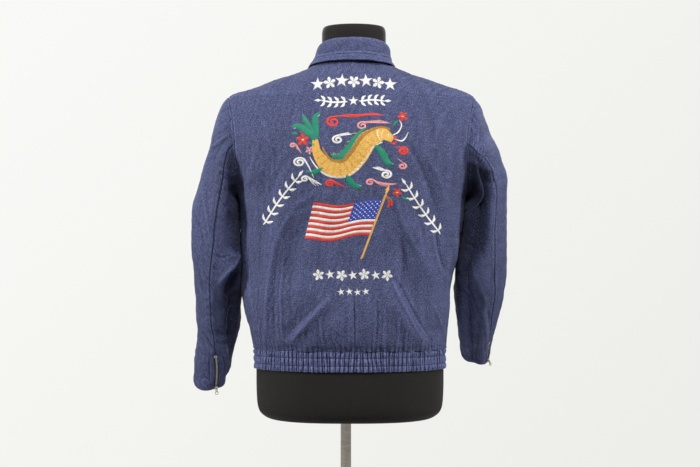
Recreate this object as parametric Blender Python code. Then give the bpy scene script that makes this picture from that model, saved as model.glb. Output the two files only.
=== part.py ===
"""A zipped cotton jacket worn by a limbless dress form on a pole stand.

Every cloth piece is a thin wall over a middle surface that is worked out from short tables of
sections. The torso is a stack of rounded sections, the sleeves are tubes that start at the armholes,
and the folds are soft ridges and troughs laid along curved paths. The wearer's back faces -Y, the
wearer's right is +X, and the stand's foot rests on the floor at z = 0.
"""

import math
from typing import NamedTuple

import bmesh
import bpy
import numpy as np
from mathutils import Matrix, Vector

MM = 0.001

# Driving dimensions, in millimetres.
CLOTH = 1.6
HEM_CLOTH = 2.4
COLLAR_CLOTH = 2.2
SEAM_GAP = 0.42
HEM_Z = 931.0
BAND_TOP_Z = 968.0
UNDERARM_Z = 1255.0
SHOULDER_TIP_Z = 1430.0
NECK_SIDE_Z = 1492.0
NECK_BACK_Z = 1497.0
NECK_FRONT_Z = 1430.0
ZIP_HALF_GAP = 2.8
COLLAR_SEAM_GAP = 0.45
ARMHOLE_SEAM_GAP = 0.3
FORM_CLEARANCE = 0.9
FORM_OFFSET = 7.6

# The rounding of a level section through the torso.
SIDE_POWER = 2.5
DEPTH_POWER = 2.0

# How many steps each grid takes.
SHOULDER_STEPS = 7
NECK_STEPS = 7
LOWER_ROWS = 12
ARMHOLE_STEPS = 12
SLEEVE_RINGS = 19
CUFF_RINGS = 3
BACK_SEAM_STEP = 6
FRONT_SEAM_STEP = 7


class TorsoRow(NamedTuple):
    z: float
    left: float
    right: float
    back: float
    front: float


# Half-widths and depths of the jacket's body at each height.
TORSO = [
    TorsoRow(920, 176, 176, 107, 107),
    TorsoRow(968, 176, 175.5, 107, 107),
    TorsoRow(982, 179, 177, 113, 112),
    TorsoRow(1000, 183, 179, 117, 116),
    TorsoRow(1020, 189, 181.5, 119, 118),
    TorsoRow(1040, 195, 183.5, 119, 118),
    TorsoRow(1075, 199, 184.5, 116, 116),
    TorsoRow(1100, 199, 189, 113, 115),
    TorsoRow(1130, 199, 197, 111, 115),
    TorsoRow(1160, 200, 203, 111, 117),
    TorsoRow(1200, 201, 208, 113, 121),
    TorsoRow(1235, 203.5, 211, 116, 124),
    TorsoRow(1255, 207.5, 215, 117, 125),
    TorsoRow(1290, 220, 227, 118, 125),
    TorsoRow(1340, 238, 242, 116, 118),
    TorsoRow(1390, 233, 238, 108, 100),
    TorsoRow(1430, 223, 228, 97, 76),
    TorsoRow(1439, 199, 211, 94, 68),
    TorsoRow(1449, 169.5, 183, 90, 60),
    TorsoRow(1460, 141, 150.5, 86, 54),
    TorsoRow(1471, 105, 115, 81, 48),
    TorsoRow(1482, 77, 86, 75, 42),
    TorsoRow(1492, 64.5, 71.5, 72, 38),
    TorsoRow(1500, 59, 66, 67, 34),
]


class ArmholeRow(NamedTuple):
    z: float
    left: float
    right: float


# How far out the armhole seam lies at each height.
ARMHOLE = [
    ArmholeRow(1255, 207.5, 215),
    ArmholeRow(1290, 206, 212.5),
    ArmholeRow(1340, 208.5, 212),
    ArmholeRow(1390, 214, 218),
    ArmholeRow(1430, 223, 228),
]


class SideSeamRow(NamedTuple):
    z: float
    left: float
    right: float


# Where the side seams run round the body: 0 centre back, 1 the side, 2 centre front.
SIDE_SEAM = [
    SideSeamRow(920, 0.73, 1.04),
    SideSeamRow(1000, 0.74, 1.04),
    SideSeamRow(1120, 0.80, 1.03),
    SideSeamRow(1200, 0.90, 1.01),
    SideSeamRow(1255, 1.00, 1.00),
]


class SleeveRow(NamedTuple):
    outer_x: float
    outer_z: float
    inner_x: float
    inner_z: float
    y: float
    depth: float
    tilt: float
    twist: float


# Each sleeve's outline from the armhole to the cuff, and how it swings forward and turns.
SLEEVES = {
    "left": [
        SleeveRow(223, 1430, 207.5, 1255, 0, 63, 0, 0),
        SleeveRow(235, 1417, 213.5, 1246, 0, 65, 0, 0),
        SleeveRow(246, 1389, 209, 1231, 0, 67, 0, 0),
        SleeveRow(255, 1352, 205, 1214, 1, 68, 0, 0),
        SleeveRow(268, 1308, 204, 1196, 2, 68, 1, 0),
        SleeveRow(282, 1258, 203.2, 1174, 4, 67, 3, 0),
        SleeveRow(292, 1205, 202.8, 1147, 7, 66, 5, 0),
        SleeveRow(293, 1150, 202.2, 1112, 12, 64, 8, -6),
        SleeveRow(290, 1095, 202.5, 1074, 22, 61, 12, -13),
        SleeveRow(288, 1045, 205, 1034, 38, 57, 18, -13),
        SleeveRow(286, 998, 209, 996, 58, 53, 25, -6),
        SleeveRow(294, 947, 220, 950, 82, 48, 32, 6),
        SleeveRow(298, 903, 229, 918, 103, 44, 38, 10),
    ],
    "right": [
        SleeveRow(228, 1430, 215, 1255, 0, 63, 0, 0),
        SleeveRow(239, 1416, 221, 1246, 0, 65, 0, -2),
        SleeveRow(248, 1392, 216.8, 1231, 0, 67, 0, -8),
        SleeveRow(263, 1357, 212.6, 1214, 1, 68, 0, -20),
        SleeveRow(279, 1320, 211.3, 1196, 3, 68, 2, -27),
        SleeveRow(290, 1277, 208.3, 1174, 6, 68, 4, -26),
        SleeveRow(290, 1222, 203.8, 1147, 12, 66, 8, -24),
        SleeveRow(292, 1165, 197.5, 1112, 26, 64, 14, -24),
        SleeveRow(293, 1108, 197, 1074, 50, 60, 24, -27),
        SleeveRow(287, 1052, 202, 1034, 82, 54, 33, -34),
        SleeveRow(280, 1005, 208, 1000, 116, 48, 37, -43),
        SleeveRow(273, 968, 213, 972, 145, 42, 38, -51),
        SleeveRow(270, 944, 216, 955, 161, 38, 38, -55),
    ],
}
SLEEVE_INNER_POWER = 0.72
SLEEVE_SETTLED = 0.22
CUFF_HEM_START = 0.955


class BodyFold(NamedTuple):
    x0: float
    z0: float
    x1: float
    z1: float
    x2: float
    z2: float
    width: float
    height: float


# Ridges (height above 0) and troughs (below 0) of the back, each along a bent path.
BACK_FOLDS = [
    BodyFold(-175, 1300, -184, 1212, -184, 1128, 13, 4),
    BodyFold(-108, 1240, -138, 1158, -150, 975, 16, 7),
    BodyFold(-160, 1194, -166, 1105, -166, 1007, 13, -4),
    BodyFold(-58, 1240, -98, 1167, -116, 1080, 22, -6),
    BodyFold(-28, 1070, -78, 1018, -112, 978, 11, 5),
    BodyFold(-56, 1066, -95, 1024, -120, 990, 12, -5),
    BodyFold(90, 1235, 125, 1150, 162, 1070, 15, 5),
    BodyFold(72, 1095, 95, 1030, 138, 978, 13, 5),
    BodyFold(82, 1170, 119, 1066, 158, 988, 15, -6),
    BodyFold(130, 1304, 160, 1194, 176, 1105, 15, -5),
    BodyFold(-128, 1330, -150, 1280, -160, 1215, 14, -3),
]

# The front hides from the photograph and takes folds of the same kind.
FRONT_FOLDS = [
    BodyFold(-150, 1240, -128, 1130, -132, 985, 16, 5),
    BodyFold(-100, 1180, -90, 1090, -98, 990, 17, -5),
    BodyFold(-56, 1110, -62, 1040, -70, 978, 12, 4),
    BodyFold(150, 1236, 132, 1120, 138, 985, 16, 5),
    BodyFold(104, 1190, 88, 1080, 94, 990, 17, -5),
    BodyFold(52, 1090, 58, 1030, 62, 978, 12, 4),
    BodyFold(168, 1310, 150, 1260, 152, 1200, 14, -4),
    BodyFold(-166, 1305, -150, 1255, -150, 1200, 14, -4),
]


class SleeveFold(NamedTuple):
    turn0: float
    along0: float
    turn1: float
    along1: float
    turn2: float
    along2: float
    width: float
    height: float


# Sleeve folds: turn is the angle from the outer edge towards the back, along runs 0 to 1 to the cuff.
SLEEVE_FOLDS = {
    "left": [
        SleeveFold(128, 0.12, 138, 0.30, 126, 0.52, 18, -10),
        SleeveFold(150, 0.44, 128, 0.56, 106, 0.66, 15, 6),
        SleeveFold(142, 0.58, 122, 0.72, 126, 0.88, 18, -9),
        SleeveFold(40, 0.20, 55, 0.36, 62, 0.50, 16, -4),
        SleeveFold(10, 0.42, 34, 0.52, 54, 0.64, 15, 4),
        SleeveFold(18, 0.60, 45, 0.70, 72, 0.76, 15, -4),
        SleeveFold(-40, 0.28, -55, 0.45, -80, 0.60, 18, -6),
        SleeveFold(-100, 0.54, -70, 0.66, -30, 0.74, 17, 6),
    ],
    "right": [
        SleeveFold(124, 0.12, 124, 0.32, 118, 0.58, 19, -11),
        SleeveFold(92, 0.03, 80, 0.15, 72, 0.30, 14, 5),
        SleeveFold(70, 0.12, 48, 0.19, 18, 0.26, 15, -5),
        SleeveFold(154, 0.50, 120, 0.66, 106, 0.86, 17, 7),
        SleeveFold(130, 0.64, 98, 0.76, 84, 0.92, 16, -6),
        SleeveFold(-46, 0.32, -60, 0.48, -84, 0.62, 18, -6),
        SleeveFold(-100, 0.58, -66, 0.68, -28, 0.75, 17, 6),
    ],
}

SLEEVE_LENGTH = 540.0
SLEEVE_RADIUS = 55.0

# The waistband: elastic gathers between the rows of stitching.
BACK_GATHERS = 46
FRONT_GATHERS = 14
FRONT_TAB = 58.0
BAND_THICKNESS = 1.2
BAND_CLEARANCE = 0.8
GATHER_HEIGHT = 2.5


class BandRow(NamedTuple):
    z: float
    gather: float


BAND_ROWS = [
    BandRow(HEM_Z, 0.85),
    BandRow(942.0, 0.45),
    BandRow(949.0, 1.0),
    BandRow(956.0, 0.45),
    BandRow(BAND_TOP_Z, 0.8),
]


class FormRow(NamedTuple):
    z: float
    side: float
    back: float
    front: float


# The dress form below the neck. Its shoulders are trimmed to the inside of the cloth.
FORM = [
    FormRow(836, 138, 80, 80),
    FormRow(840, 152, 89, 89),
    FormRow(852, 167, 99, 99),
    FormRow(875, 172, 103, 103),
    FormRow(905, 173, 104, 104),
    FormRow(975, 173, 104, 104),
    FormRow(1010, 166, 100, 101),
    FormRow(1060, 152, 94, 97),
    FormRow(1110, 145, 90, 96),
    FormRow(1160, 147, 92, 100),
    FormRow(1210, 153, 97, 105),
    FormRow(1260, 160, 102, 108),
    FormRow(1310, 169, 104, 107),
    FormRow(1350, 177, 102, 99),
    FormRow(1390, 184, 97, 88),
    FormRow(1415, 188, 91, 76),
    FormRow(1430, 190, 88, 69),
    FormRow(1441, 190, 86, 62),
    FormRow(1452, 190, 83, 55),
    FormRow(1462, 190, 79, 49),
    FormRow(1471, 190, 72, 41),
    FormRow(1477, 78, 58, 30),
]
FORM_SEGMENTS = 32
NECK_RADIUS = 59.0
NECK_DEPTH = 57.0
NECK_OFFSET = 7.2
NECK_BASE_Z = 1425.0
NECK_TOP_Z = 1565.0
POLE_RADIUS = 9.7
POLE_TOP_Z = FORM[0].z - 0.3
FOOT_RADIUS = 190.0
FOOT_THICKNESS = 8.0
FOOT_EDGE = 2.0
HUB_RADIUS = 24.0
HUB_HEIGHT = 38.0


class CollarRow(NamedTuple):
    share: float
    fold_x: float
    fold_y: float
    fold_z: float
    edge_x: float
    edge_y: float
    edge_z: float


# Half of the collar, from centre back (share 0) to its point at the front (share 1).
COLLAR = [
    CollarRow(0.00, 0, -67, 1534, 0, -80, 1493),
    CollarRow(0.14, 27, -62, 1533, 33, -76, 1492),
    CollarRow(0.28, 48, -46, 1530, 60, -58, 1490),
    CollarRow(0.42, 60.5, -22, 1525, 75, -29, 1489),
    CollarRow(0.54, 63.8, 4, 1518, 82, 6, 1488),
    CollarRow(0.66, 61, 30, 1507, 88, 40, 1474),
    CollarRow(0.78, 50, 53, 1490, 84, 71, 1447),
    CollarRow(0.90, 30, 70, 1468, 67, 93, 1417),
    CollarRow(1.00, 9, 79, 1455, 50, 103, 1394),
]
FOLD_RADIUS = 3.2
FALL_HOLLOW = 2.5
COLLAR_SHIFT = 6.5

CUFF_ZIP_START = 0.868
ZIP_OPENING_STEP = 0.009
CHAIN_HALF_WIDTH = 2.3
CHAIN_THICKNESS = 1.6
ZIP_SIDE_GAP = 0.5
SLIDER_SEAT_GAP = 0.45
EYELET_RADIUS = 3.1
EYELET_HOLE = 1.3
EYELET_THICKNESS = 1.0

# The zip slider and its pull, about the hinge line where the pull's cross bar sits.
SLIDER_LENGTH = 8.4
SLIDER_WIDTH = 6.2
SLIDER_THICKNESS = 1.9
BRIDGE_WIDTH = 1.6
BRIDGE_HALF_LENGTH = 2.5
BRIDGE_LEG = 0.8
PIVOT_HEIGHT = 1.15
TUNNEL_HEIGHT = 2.3
PULL_THICKNESS = 1.0
PULL_BAR = 0.55
PULL_NECK_WIDTH = 3.9
PULL_WINDOW_WIDTH = 2.4
PULL_WINDOW_END = 3.7
PULL_RING_CENTRE = 8.2
PULL_RING_RADIUS = 3.3
PULL_RING_HOLE = 2.0


# Curves through the tables.


def smooth_curve(xs, ys):
    """A curve through the points that doesn't overshoot between them, as a function."""
    xs = np.asarray(xs, float)
    ys = np.asarray(ys, float)
    steps = np.diff(xs)
    rises = np.diff(ys) / steps
    slopes = np.zeros_like(ys)
    slopes[0] = rises[0]
    slopes[-1] = rises[-1]
    for i in range(1, len(xs) - 1):
        if rises[i - 1] * rises[i] > 0:
            weight_a = 2 * steps[i] + steps[i - 1]
            weight_b = steps[i] + 2 * steps[i - 1]
            slopes[i] = (weight_a + weight_b) / (weight_a / rises[i - 1] + weight_b / rises[i])

    def curve(x):
        x = np.clip(np.asarray(x, float), xs[0], xs[-1])
        i = np.clip(np.searchsorted(xs, x) - 1, 0, len(steps) - 1)
        h = steps[i]
        t = (x - xs[i]) / h
        start = ys[i] * (1 + 2 * t) * (1 - t) ** 2 + slopes[i] * h * t * (1 - t) ** 2
        end = ys[i + 1] * t**2 * (3 - 2 * t) - slopes[i + 1] * h * t**2 * (1 - t)
        return start + end

    return curve


def table_curves(rows, key):
    """One smooth curve for each column of a table, against the column named by key."""
    xs = [getattr(row, key) for row in rows]
    return {
        name: smooth_curve(xs, [getattr(row, name) for row in rows])
        for name in rows[0]._fields
        if name != key
    }


def signed_power(values, power):
    return np.sign(values) * np.abs(values) ** power


def smoothstep(t):
    t = np.clip(t, 0.0, 1.0)
    return t * t * (3 - 2 * t)


TORSO_CURVES = table_curves(TORSO, "z")
ARMHOLE_CURVES = table_curves(ARMHOLE, "z")
SIDE_SEAM_CURVES = table_curves(SIDE_SEAM, "z")
COLLAR_CURVES = table_curves(COLLAR, "share")


# The torso's middle surface.


def half_width(x, z):
    return np.where(np.asarray(x) < 0, TORSO_CURVES["left"](z), TORSO_CURVES["right"](z))


def depth_at(x, z, face):
    """How far the cloth stands back (or front) from the shoulder line's plane."""
    ratio = np.clip(np.abs(x) / half_width(x, z), 0.0, 1.0)
    return TORSO_CURVES[face](z) * (1 - ratio**SIDE_POWER) ** (1 / DEPTH_POWER)


def ring_point(share, z):
    """A point of a level section: share is 0 at centre back, 1 and -1 at the sides, 2 in front."""
    bend = SIDE_POWER / 2
    size = np.abs(share)
    quarter = np.where(size <= 1, size, 2 - size)
    angle = math.pi / 2 * np.clip(quarter, 0, 1) ** bend
    x = np.sign(share) * half_width(share, z) * np.sin(angle) ** (2 / SIDE_POWER)
    reach = np.cos(angle) ** (2 / DEPTH_POWER)
    y = np.where(size <= 1, -TORSO_CURVES["back"](z), TORSO_CURVES["front"](z)) * reach
    return np.stack([x, y, np.broadcast_to(z, np.shape(x))], axis=-1)


def crest_height(x):
    """The height of the shoulder line at a distance x from the centre."""
    heights = np.linspace(SHOULDER_TIP_Z, NECK_SIDE_Z, 80)
    widths = half_width(np.full_like(heights, x), heights)
    return float(np.interp(-abs(x), -widths, heights))


def shoulder_line(side):
    """Points from the armhole's top to the side of the neck."""
    sign = -1 if side == "left" else 1
    tip = float(TORSO_CURVES[side](SHOULDER_TIP_Z))
    neck = float(TORSO_CURVES[side](NECK_SIDE_Z))
    xs = sign * np.linspace(tip, neck, SHOULDER_STEPS + 1)
    return np.array([[x, 0.0, crest_height(x)] for x in xs])


def neckline_point(x, face):
    """A point of the neck seam, x from the centre, on the back or the front."""
    side = float(half_width(x, NECK_SIDE_Z))
    ratio = min(1.0, abs(x) / side)
    if face == "back":
        z = NECK_BACK_Z + (NECK_SIDE_Z - NECK_BACK_Z) * ratio**2
        return np.array([x, -float(depth_at(x, z, "back")), z])
    z = NECK_FRONT_Z + (NECK_SIDE_Z - NECK_FRONT_Z) * ratio**2.2
    return np.array([x, float(depth_at(x, z, "front")), z])


def neck_columns(side, face):
    """The x of each neck seam column on one side, from the side of the neck to the centre."""
    sign = -1 if side == "left" else 1
    neck = float(TORSO_CURVES[side](NECK_SIDE_Z))
    if face == "back":
        return sign * neck * np.sin(np.linspace(math.pi / 2, 0, NECK_STEPS))
    spread = np.sin(np.linspace(math.pi / 2, 0, NECK_STEPS + 1))
    return sign * (ZIP_HALF_GAP + (neck - ZIP_HALF_GAP) * spread)


def armhole_heights():
    turns = np.radians(np.linspace(180, 0, ARMHOLE_STEPS + 1))
    middle = (SHOULDER_TIP_Z + UNDERARM_Z) / 2
    return middle + (SHOULDER_TIP_Z - UNDERARM_Z) / 2 * np.cos(turns)


def lower_heights():
    return np.linspace(BAND_TOP_Z, UNDERARM_Z, LOWER_ROWS + 1)[:-1]


def upper_rows(top, ring_shares, edges, face):
    """Rows above the underarm, which close in from the ring to the shoulder and neck line."""
    rows = []
    for z_edge in armhole_heights():
        rise = (z_edge - UNDERARM_Z) / (SHOULDER_TIP_Z - UNDERARM_Z)
        row = []
        for j, goal in enumerate(top):
            goal_share, edge_side, base = edges[j]
            reach = float(ARMHOLE_CURVES[edge_side](z_edge))
            share = ring_shares[j] + (goal_share - ring_shares[j]) * rise
            x = (base + (reach - base) * share) * (-1 if edge_side == "left" else 1)
            z = UNDERARM_Z + (goal[2] - UNDERARM_Z) * rise
            depth = float(depth_at(x, z, face))
            row.append([x, depth if face == "front" else -depth, z])
        rows.append(row)
    rows[-1] = top
    return np.array(rows)


def back_grid():
    """The back panel's middle surface, rows upwards from the waistband, columns left to right."""
    inner = [neckline_point(x, "back") for x in neck_columns("left", "back")[1:]]
    inner += [neckline_point(x, "back") for x in neck_columns("right", "back")[-2:0:-1]]
    top = np.vstack([shoulder_line("left"), inner, shoulder_line("right")[::-1]])
    shares = np.linspace(-1, 1, len(top))
    lower = []
    for z in lower_heights():
        left = -float(SIDE_SEAM_CURVES["left"](z))
        right = float(SIDE_SEAM_CURVES["right"](z))
        lower.append(ring_point(left + (right - left) * (shares + 1) / 2, z))
    ring = ring_point(shares, UNDERARM_Z)
    edges = []
    ring_shares = []
    for j, goal in enumerate(top):
        side = "left" if shares[j] < 0 else "right"
        edges.append((abs(goal[0]) / float(TORSO_CURVES[side](SHOULDER_TIP_Z)), side, 0.0))
        ring_shares.append(abs(ring[j][0]) / float(TORSO_CURVES[side](UNDERARM_Z)))
    return np.concatenate([np.array(lower), upper_rows(top, ring_shares, edges, "back")])


def front_grid(side):
    """A front panel's middle surface, columns from the side seam to the zip."""
    sign = -1 if side == "left" else 1
    inner = [neckline_point(x, "front") for x in neck_columns(side, "front")[1:]]
    top = np.vstack([shoulder_line(side), inner])
    steps = np.linspace(0, 1, len(top))

    def row(z, seam):
        width = float(TORSO_CURVES[side](z))
        close = ZIP_HALF_GAP / width / (math.pi / 2) ** (2 / SIDE_POWER)
        return ring_point(sign * (seam + (2 - close - seam) * steps), z)

    lower = [row(z, float(SIDE_SEAM_CURVES[side](z))) for z in lower_heights()]
    ring = row(UNDERARM_Z, 1.0)
    reach = float(TORSO_CURVES[side](UNDERARM_Z)) - ZIP_HALF_GAP
    ring_shares = (np.abs(ring[:, 0]) - ZIP_HALF_GAP) / reach
    tip = float(TORSO_CURVES[side](SHOULDER_TIP_Z)) - ZIP_HALF_GAP
    edges = [((abs(goal[0]) - ZIP_HALF_GAP) / tip, side, ZIP_HALF_GAP) for goal in top]
    return np.concatenate([np.array(lower), upper_rows(top, ring_shares, edges, "front")])


# The sleeves' middle surface.


def armhole_loop(side):
    """The armhole's points, one for each step of turn, from the shoulder tip round the back."""
    sign = -1 if side == "left" else 1
    count = 2 * ARMHOLE_STEPS
    points = []
    for j in range(count):
        turn = 2 * math.pi * j / count
        middle = (SHOULDER_TIP_Z + UNDERARM_Z) / 2
        z = middle + (SHOULDER_TIP_Z - UNDERARM_Z) / 2 * math.cos(turn)
        x = sign * float(ARMHOLE_CURVES[side](z))
        back = 0 < turn < math.pi
        depth = float(depth_at(x, z, "back" if back else "front"))
        if j in (0, ARMHOLE_STEPS):
            depth = 0.0
        points.append([x, -depth if back else depth, z])
    return np.array(points)


def ring_places():
    """How far along the sleeve each ring lies, with a close pair where the cuff's zip starts."""
    upper = np.linspace(0, CUFF_ZIP_START, SLEEVE_RINGS)
    lower = np.linspace(CUFF_ZIP_START + ZIP_OPENING_STEP, 1, CUFF_RINGS + 1)
    return np.concatenate([upper, lower])


def sleeve_rings(side):
    """Rings of the sleeve's middle surface, from the armhole to the cuff."""
    sign = -1 if side == "left" else 1
    rows = SLEEVES[side]
    places = np.linspace(0, 1, len(rows))
    curves = {
        name: smooth_curve(places, [getattr(row, name) for row in rows]) for name in SleeveRow._fields
    }
    loop = armhole_loop(side)
    turns = 2 * math.pi * np.arange(len(loop)) / len(loop)
    rings = [loop]
    for along in ring_places()[1:]:
        row = {name: float(curve(along)) for name, curve in curves.items()}
        outer = np.array([sign * row["outer_x"], row["y"], row["outer_z"]])
        inner = np.array([sign * row["inner_x"], row["y"], row["inner_z"]])
        middle = (outer + inner) / 2
        tilt = math.radians(row["tilt"])
        backward = np.array([0.0, -math.cos(tilt), -math.sin(tilt)])
        settled = float(smoothstep(along / SLEEVE_SETTLED))
        angle = turns + math.radians(row["twist"])
        flat = 1 - settled * (1 - SLEEVE_INNER_POWER) * (np.cos(angle) < 0)
        loop_depth = -loop[:, 1] / np.abs(loop[:, 1]).max()
        bulge = (1 - settled) * loop_depth + settled * signed_power(np.sin(angle), flat)
        lean = loop[:, 0] - (loop[0, 0] + loop[len(loop) // 2, 0]) / 2
        lean -= (loop[0, 0] - loop[len(loop) // 2, 0]) / 2 * np.cos(turns)
        reach = signed_power(np.cos((1 - settled) * turns + settled * angle), flat)
        ring = middle + np.outer(reach, (outer - inner) / 2) + np.outer(bulge * row["depth"], backward)
        ring[:, 0] += (1 - settled) * lean
        rings.append(ring)
    return np.array(rings)


# Folds.


def path_offset(points, fold_path, width, height):
    """How far a fold lifts each 2-D point: full along the middle of its path, nothing at its ends."""
    steps = np.linspace(0, 1, 17)[:, None]
    start, bend, end = (np.array(p, float) for p in fold_path)
    path = start * (1 - steps) * (1 - 2 * steps) + bend * 4 * steps * (1 - steps)
    path = path + end * steps * (2 * steps - 1)
    best = np.full(len(points), 1e9)
    place = np.zeros(len(points))
    for i in range(len(path) - 1):
        run = path[i + 1] - path[i]
        t = np.clip((points - path[i]) @ run / (run @ run), 0, 1)
        gap = np.linalg.norm(points - path[i] - t[:, None] * run, axis=1)
        nearer = gap < best
        best = np.where(nearer, gap, best)
        place = np.where(nearer, (i + t) / (len(path) - 1), place)
    fade = np.sin(math.pi * np.clip(place, 0, 1)) ** 0.7
    return height * fade * np.exp(-((best / width) ** 2))


def body_fold_offset(points):
    """The lift of each torso point, faded out at the sides, the shoulder line and the waistband."""
    flat = points[:, [0, 2]]
    lift = np.zeros(len(points))
    for face, folds in ((-1, BACK_FOLDS), (1, FRONT_FOLDS)):
        share = smoothstep((face * points[:, 1] - 12) / 30)
        for fold in folds:
            path = ((fold.x0, fold.z0), (fold.x1, fold.z1), (fold.x2, fold.z2))
            lift += share * path_offset(flat, path, fold.width, fold.height)
    near_zip = smoothstep((np.abs(points[:, 0]) - 8) / 25)
    lift *= np.where(points[:, 1] > 0, near_zip, 1.0)
    for side, own in (("left", points[:, 0] < 0), ("right", points[:, 0] >= 0)):
        room = smoothstep((ARMHOLE_CURVES[side](points[:, 2]) - np.abs(points[:, 0])) / 20)
        upper = smoothstep((points[:, 2] - UNDERARM_Z + 40) / 40)
        lift *= np.where(own, 1 - upper * (1 - room), 1.0)
    return lift * smoothstep((points[:, 2] - BAND_TOP_Z) / 14)


def sleeve_fold_offset(side, turns, alongs):
    """The lift of each sleeve point, from its turn in degrees and its place along the sleeve."""
    lift = np.zeros(len(turns))
    for fold in SLEEVE_FOLDS[side]:
        for lap in (-360, 0, 360):
            flat = np.stack(
                [np.radians(turns + lap) * SLEEVE_RADIUS, alongs * SLEEVE_LENGTH], axis=1
            )
            path = [
                (math.radians(turn) * SLEEVE_RADIUS, along * SLEEVE_LENGTH)
                for turn, along in (
                    (fold.turn0, fold.along0),
                    (fold.turn1, fold.along1),
                    (fold.turn2, fold.along2),
                )
            ]
            lift += path_offset(flat, path, fold.width, fold.height)
    inner = smoothstep((np.abs(turns - 180) - 8) / 36) + smoothstep((alongs - 0.62) / 0.12)
    return lift * smoothstep(alongs / 0.08) * np.minimum(inner, 1.0)


# Walls from grids.


def unit(vectors):
    length = np.linalg.norm(vectors, axis=-1, keepdims=True)
    return vectors / np.maximum(length, 1e-9)


def grid_normals(grid, inside):
    """Normals of a grid, pointing away from the line of points in inside."""
    along = np.gradient(grid, axis=0)
    across = np.gradient(grid, axis=1)
    normals = unit(np.cross(across, along))
    outward = np.sum(normals * (grid - inside), axis=-1)
    return normals if np.median(outward) > 0 else -normals


def point_key(point):
    return tuple(int(round(value * 50)) for value in point)


def share_normals(grids, normals):
    """Gives the points that meet at a seam one normal, and how much each wall widens there."""
    total = {}
    for name, grid in grids.items():
        group = name.split("_")[0].replace("front", "back")
        for point, normal in zip(grid.reshape(-1, 3), normals[name].reshape(-1, 3)):
            sums = total.setdefault(point_key(point), {})
            sums[group] = sums.get(group, 0) + normal
    shared = {}
    widen = {}
    for name, grid in grids.items():
        keys = [point_key(point) for point in grid.reshape(-1, 3)]
        own = normals[name].reshape(-1, 3)
        joint = unit(np.array([sum(unit(part) for part in total[key].values()) for key in keys]))
        cosine = np.sum(joint * own, axis=1)
        shared[name] = joint.reshape(grid.shape)
        widen[name] = (1 / np.clip(cosine, 0.55, 1.0)).reshape(grid.shape[:2])
    return shared, widen


def draw_in(edge, neighbour, normals, gap):
    """Moves an edge's points into their own piece, so that it stands gap from the seam."""
    run = unit(np.gradient(edge, axis=0))
    inward = unit(neighbour - edge)
    seam_face = unit(np.cross(normals, run))
    slope = np.abs(np.sum(inward * seam_face, axis=1))
    return edge + inward * (gap / np.maximum(slope, 0.35))[:, None]


def trim(grid, normals, gaps):
    """A copy of the grid whose named edges stand back from their seams."""
    grid = grid.copy()
    for edge, gap in gaps.items():
        length = grid.shape[1] if edge in ("first_row", "last_row") else grid.shape[0]
        gap = np.broadcast_to(gap, length)
        if edge == "first_row":
            grid[0] = draw_in(grid[0], grid[1], normals[0], gap)
        elif edge == "last_row":
            grid[-1] = draw_in(grid[-1], grid[-2], normals[-1], gap)
        elif edge == "first_column":
            grid[:, 0] = draw_in(grid[:, 0], grid[:, 1], normals[:, 0], gap)
        else:
            grid[:, -1] = draw_in(grid[:, -1], grid[:, -2], normals[:, -1], gap)
    return grid


def wall(name, outer, inner, material):
    """A closed wall between two grids of the same size."""
    rows, columns = outer.shape[:2]
    mesh = bmesh.new()
    faces = [
        [[mesh.verts.new(Vector(point * MM)) for point in row] for row in layer]
        for layer in (outer, inner)
    ]
    for layer in faces:
        for i in range(rows - 1):
            for j in range(columns - 1):
                mesh.faces.new(
                    (layer[i][j], layer[i][j + 1], layer[i + 1][j + 1], layer[i + 1][j])
                )
    rim = [(0, j) for j in range(columns)] + [(i, columns - 1) for i in range(1, rows)]
    rim += [(rows - 1, j) for j in range(columns - 2, -1, -1)]
    rim += [(i, 0) for i in range(rows - 2, 0, -1)]
    for a, b in zip(rim, rim[1:] + rim[:1]):
        mesh.faces.new(
            (faces[0][a[0]][a[1]], faces[0][b[0]][b[1]], faces[1][b[0]][b[1]], faces[1][a[0]][a[1]])
        )
    bmesh.ops.recalc_face_normals(mesh, faces=mesh.faces)
    return finish(name, mesh, material)


def finish(name, mesh, material, smooth_degrees=50):
    """Turns a bmesh into a named object with one material, shaded smooth."""
    data = bpy.data.meshes.new(name)
    mesh.to_mesh(data)
    mesh.free()
    data.materials.append(material)
    data.shade_smooth()
    data.set_sharp_from_angle(angle=math.radians(smooth_degrees))
    thing = bpy.data.objects.new(name, data)
    thing.location.x = FORM_OFFSET * MM
    bpy.context.scene.collection.objects.link(thing)
    return thing


def material(name, colour, roughness, metallic=0.0):
    made = bpy.data.materials.new(name)
    made.use_nodes = True
    shader = made.node_tree.nodes["Principled BSDF"]
    shader.inputs["Base Color"].default_value = (*colour, 1.0)
    shader.inputs["Roughness"].default_value = roughness
    shader.inputs["Metallic"].default_value = metallic
    return made


def boolean(thing, other, operation):
    """Applies an exact Boolean, then removes the other object."""
    modifier = thing.modifiers.new(operation.title(), "BOOLEAN")
    modifier.operation = operation
    modifier.solver = "EXACT"
    modifier.object = other
    bpy.context.view_layer.update()
    evaluated = thing.evaluated_get(bpy.context.evaluated_depsgraph_get())
    data = bpy.data.meshes.new_from_object(evaluated)
    thing.modifiers.clear()
    thing.data = data
    bpy.data.objects.remove(other)
    return thing


# The jacket's pieces.


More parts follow.
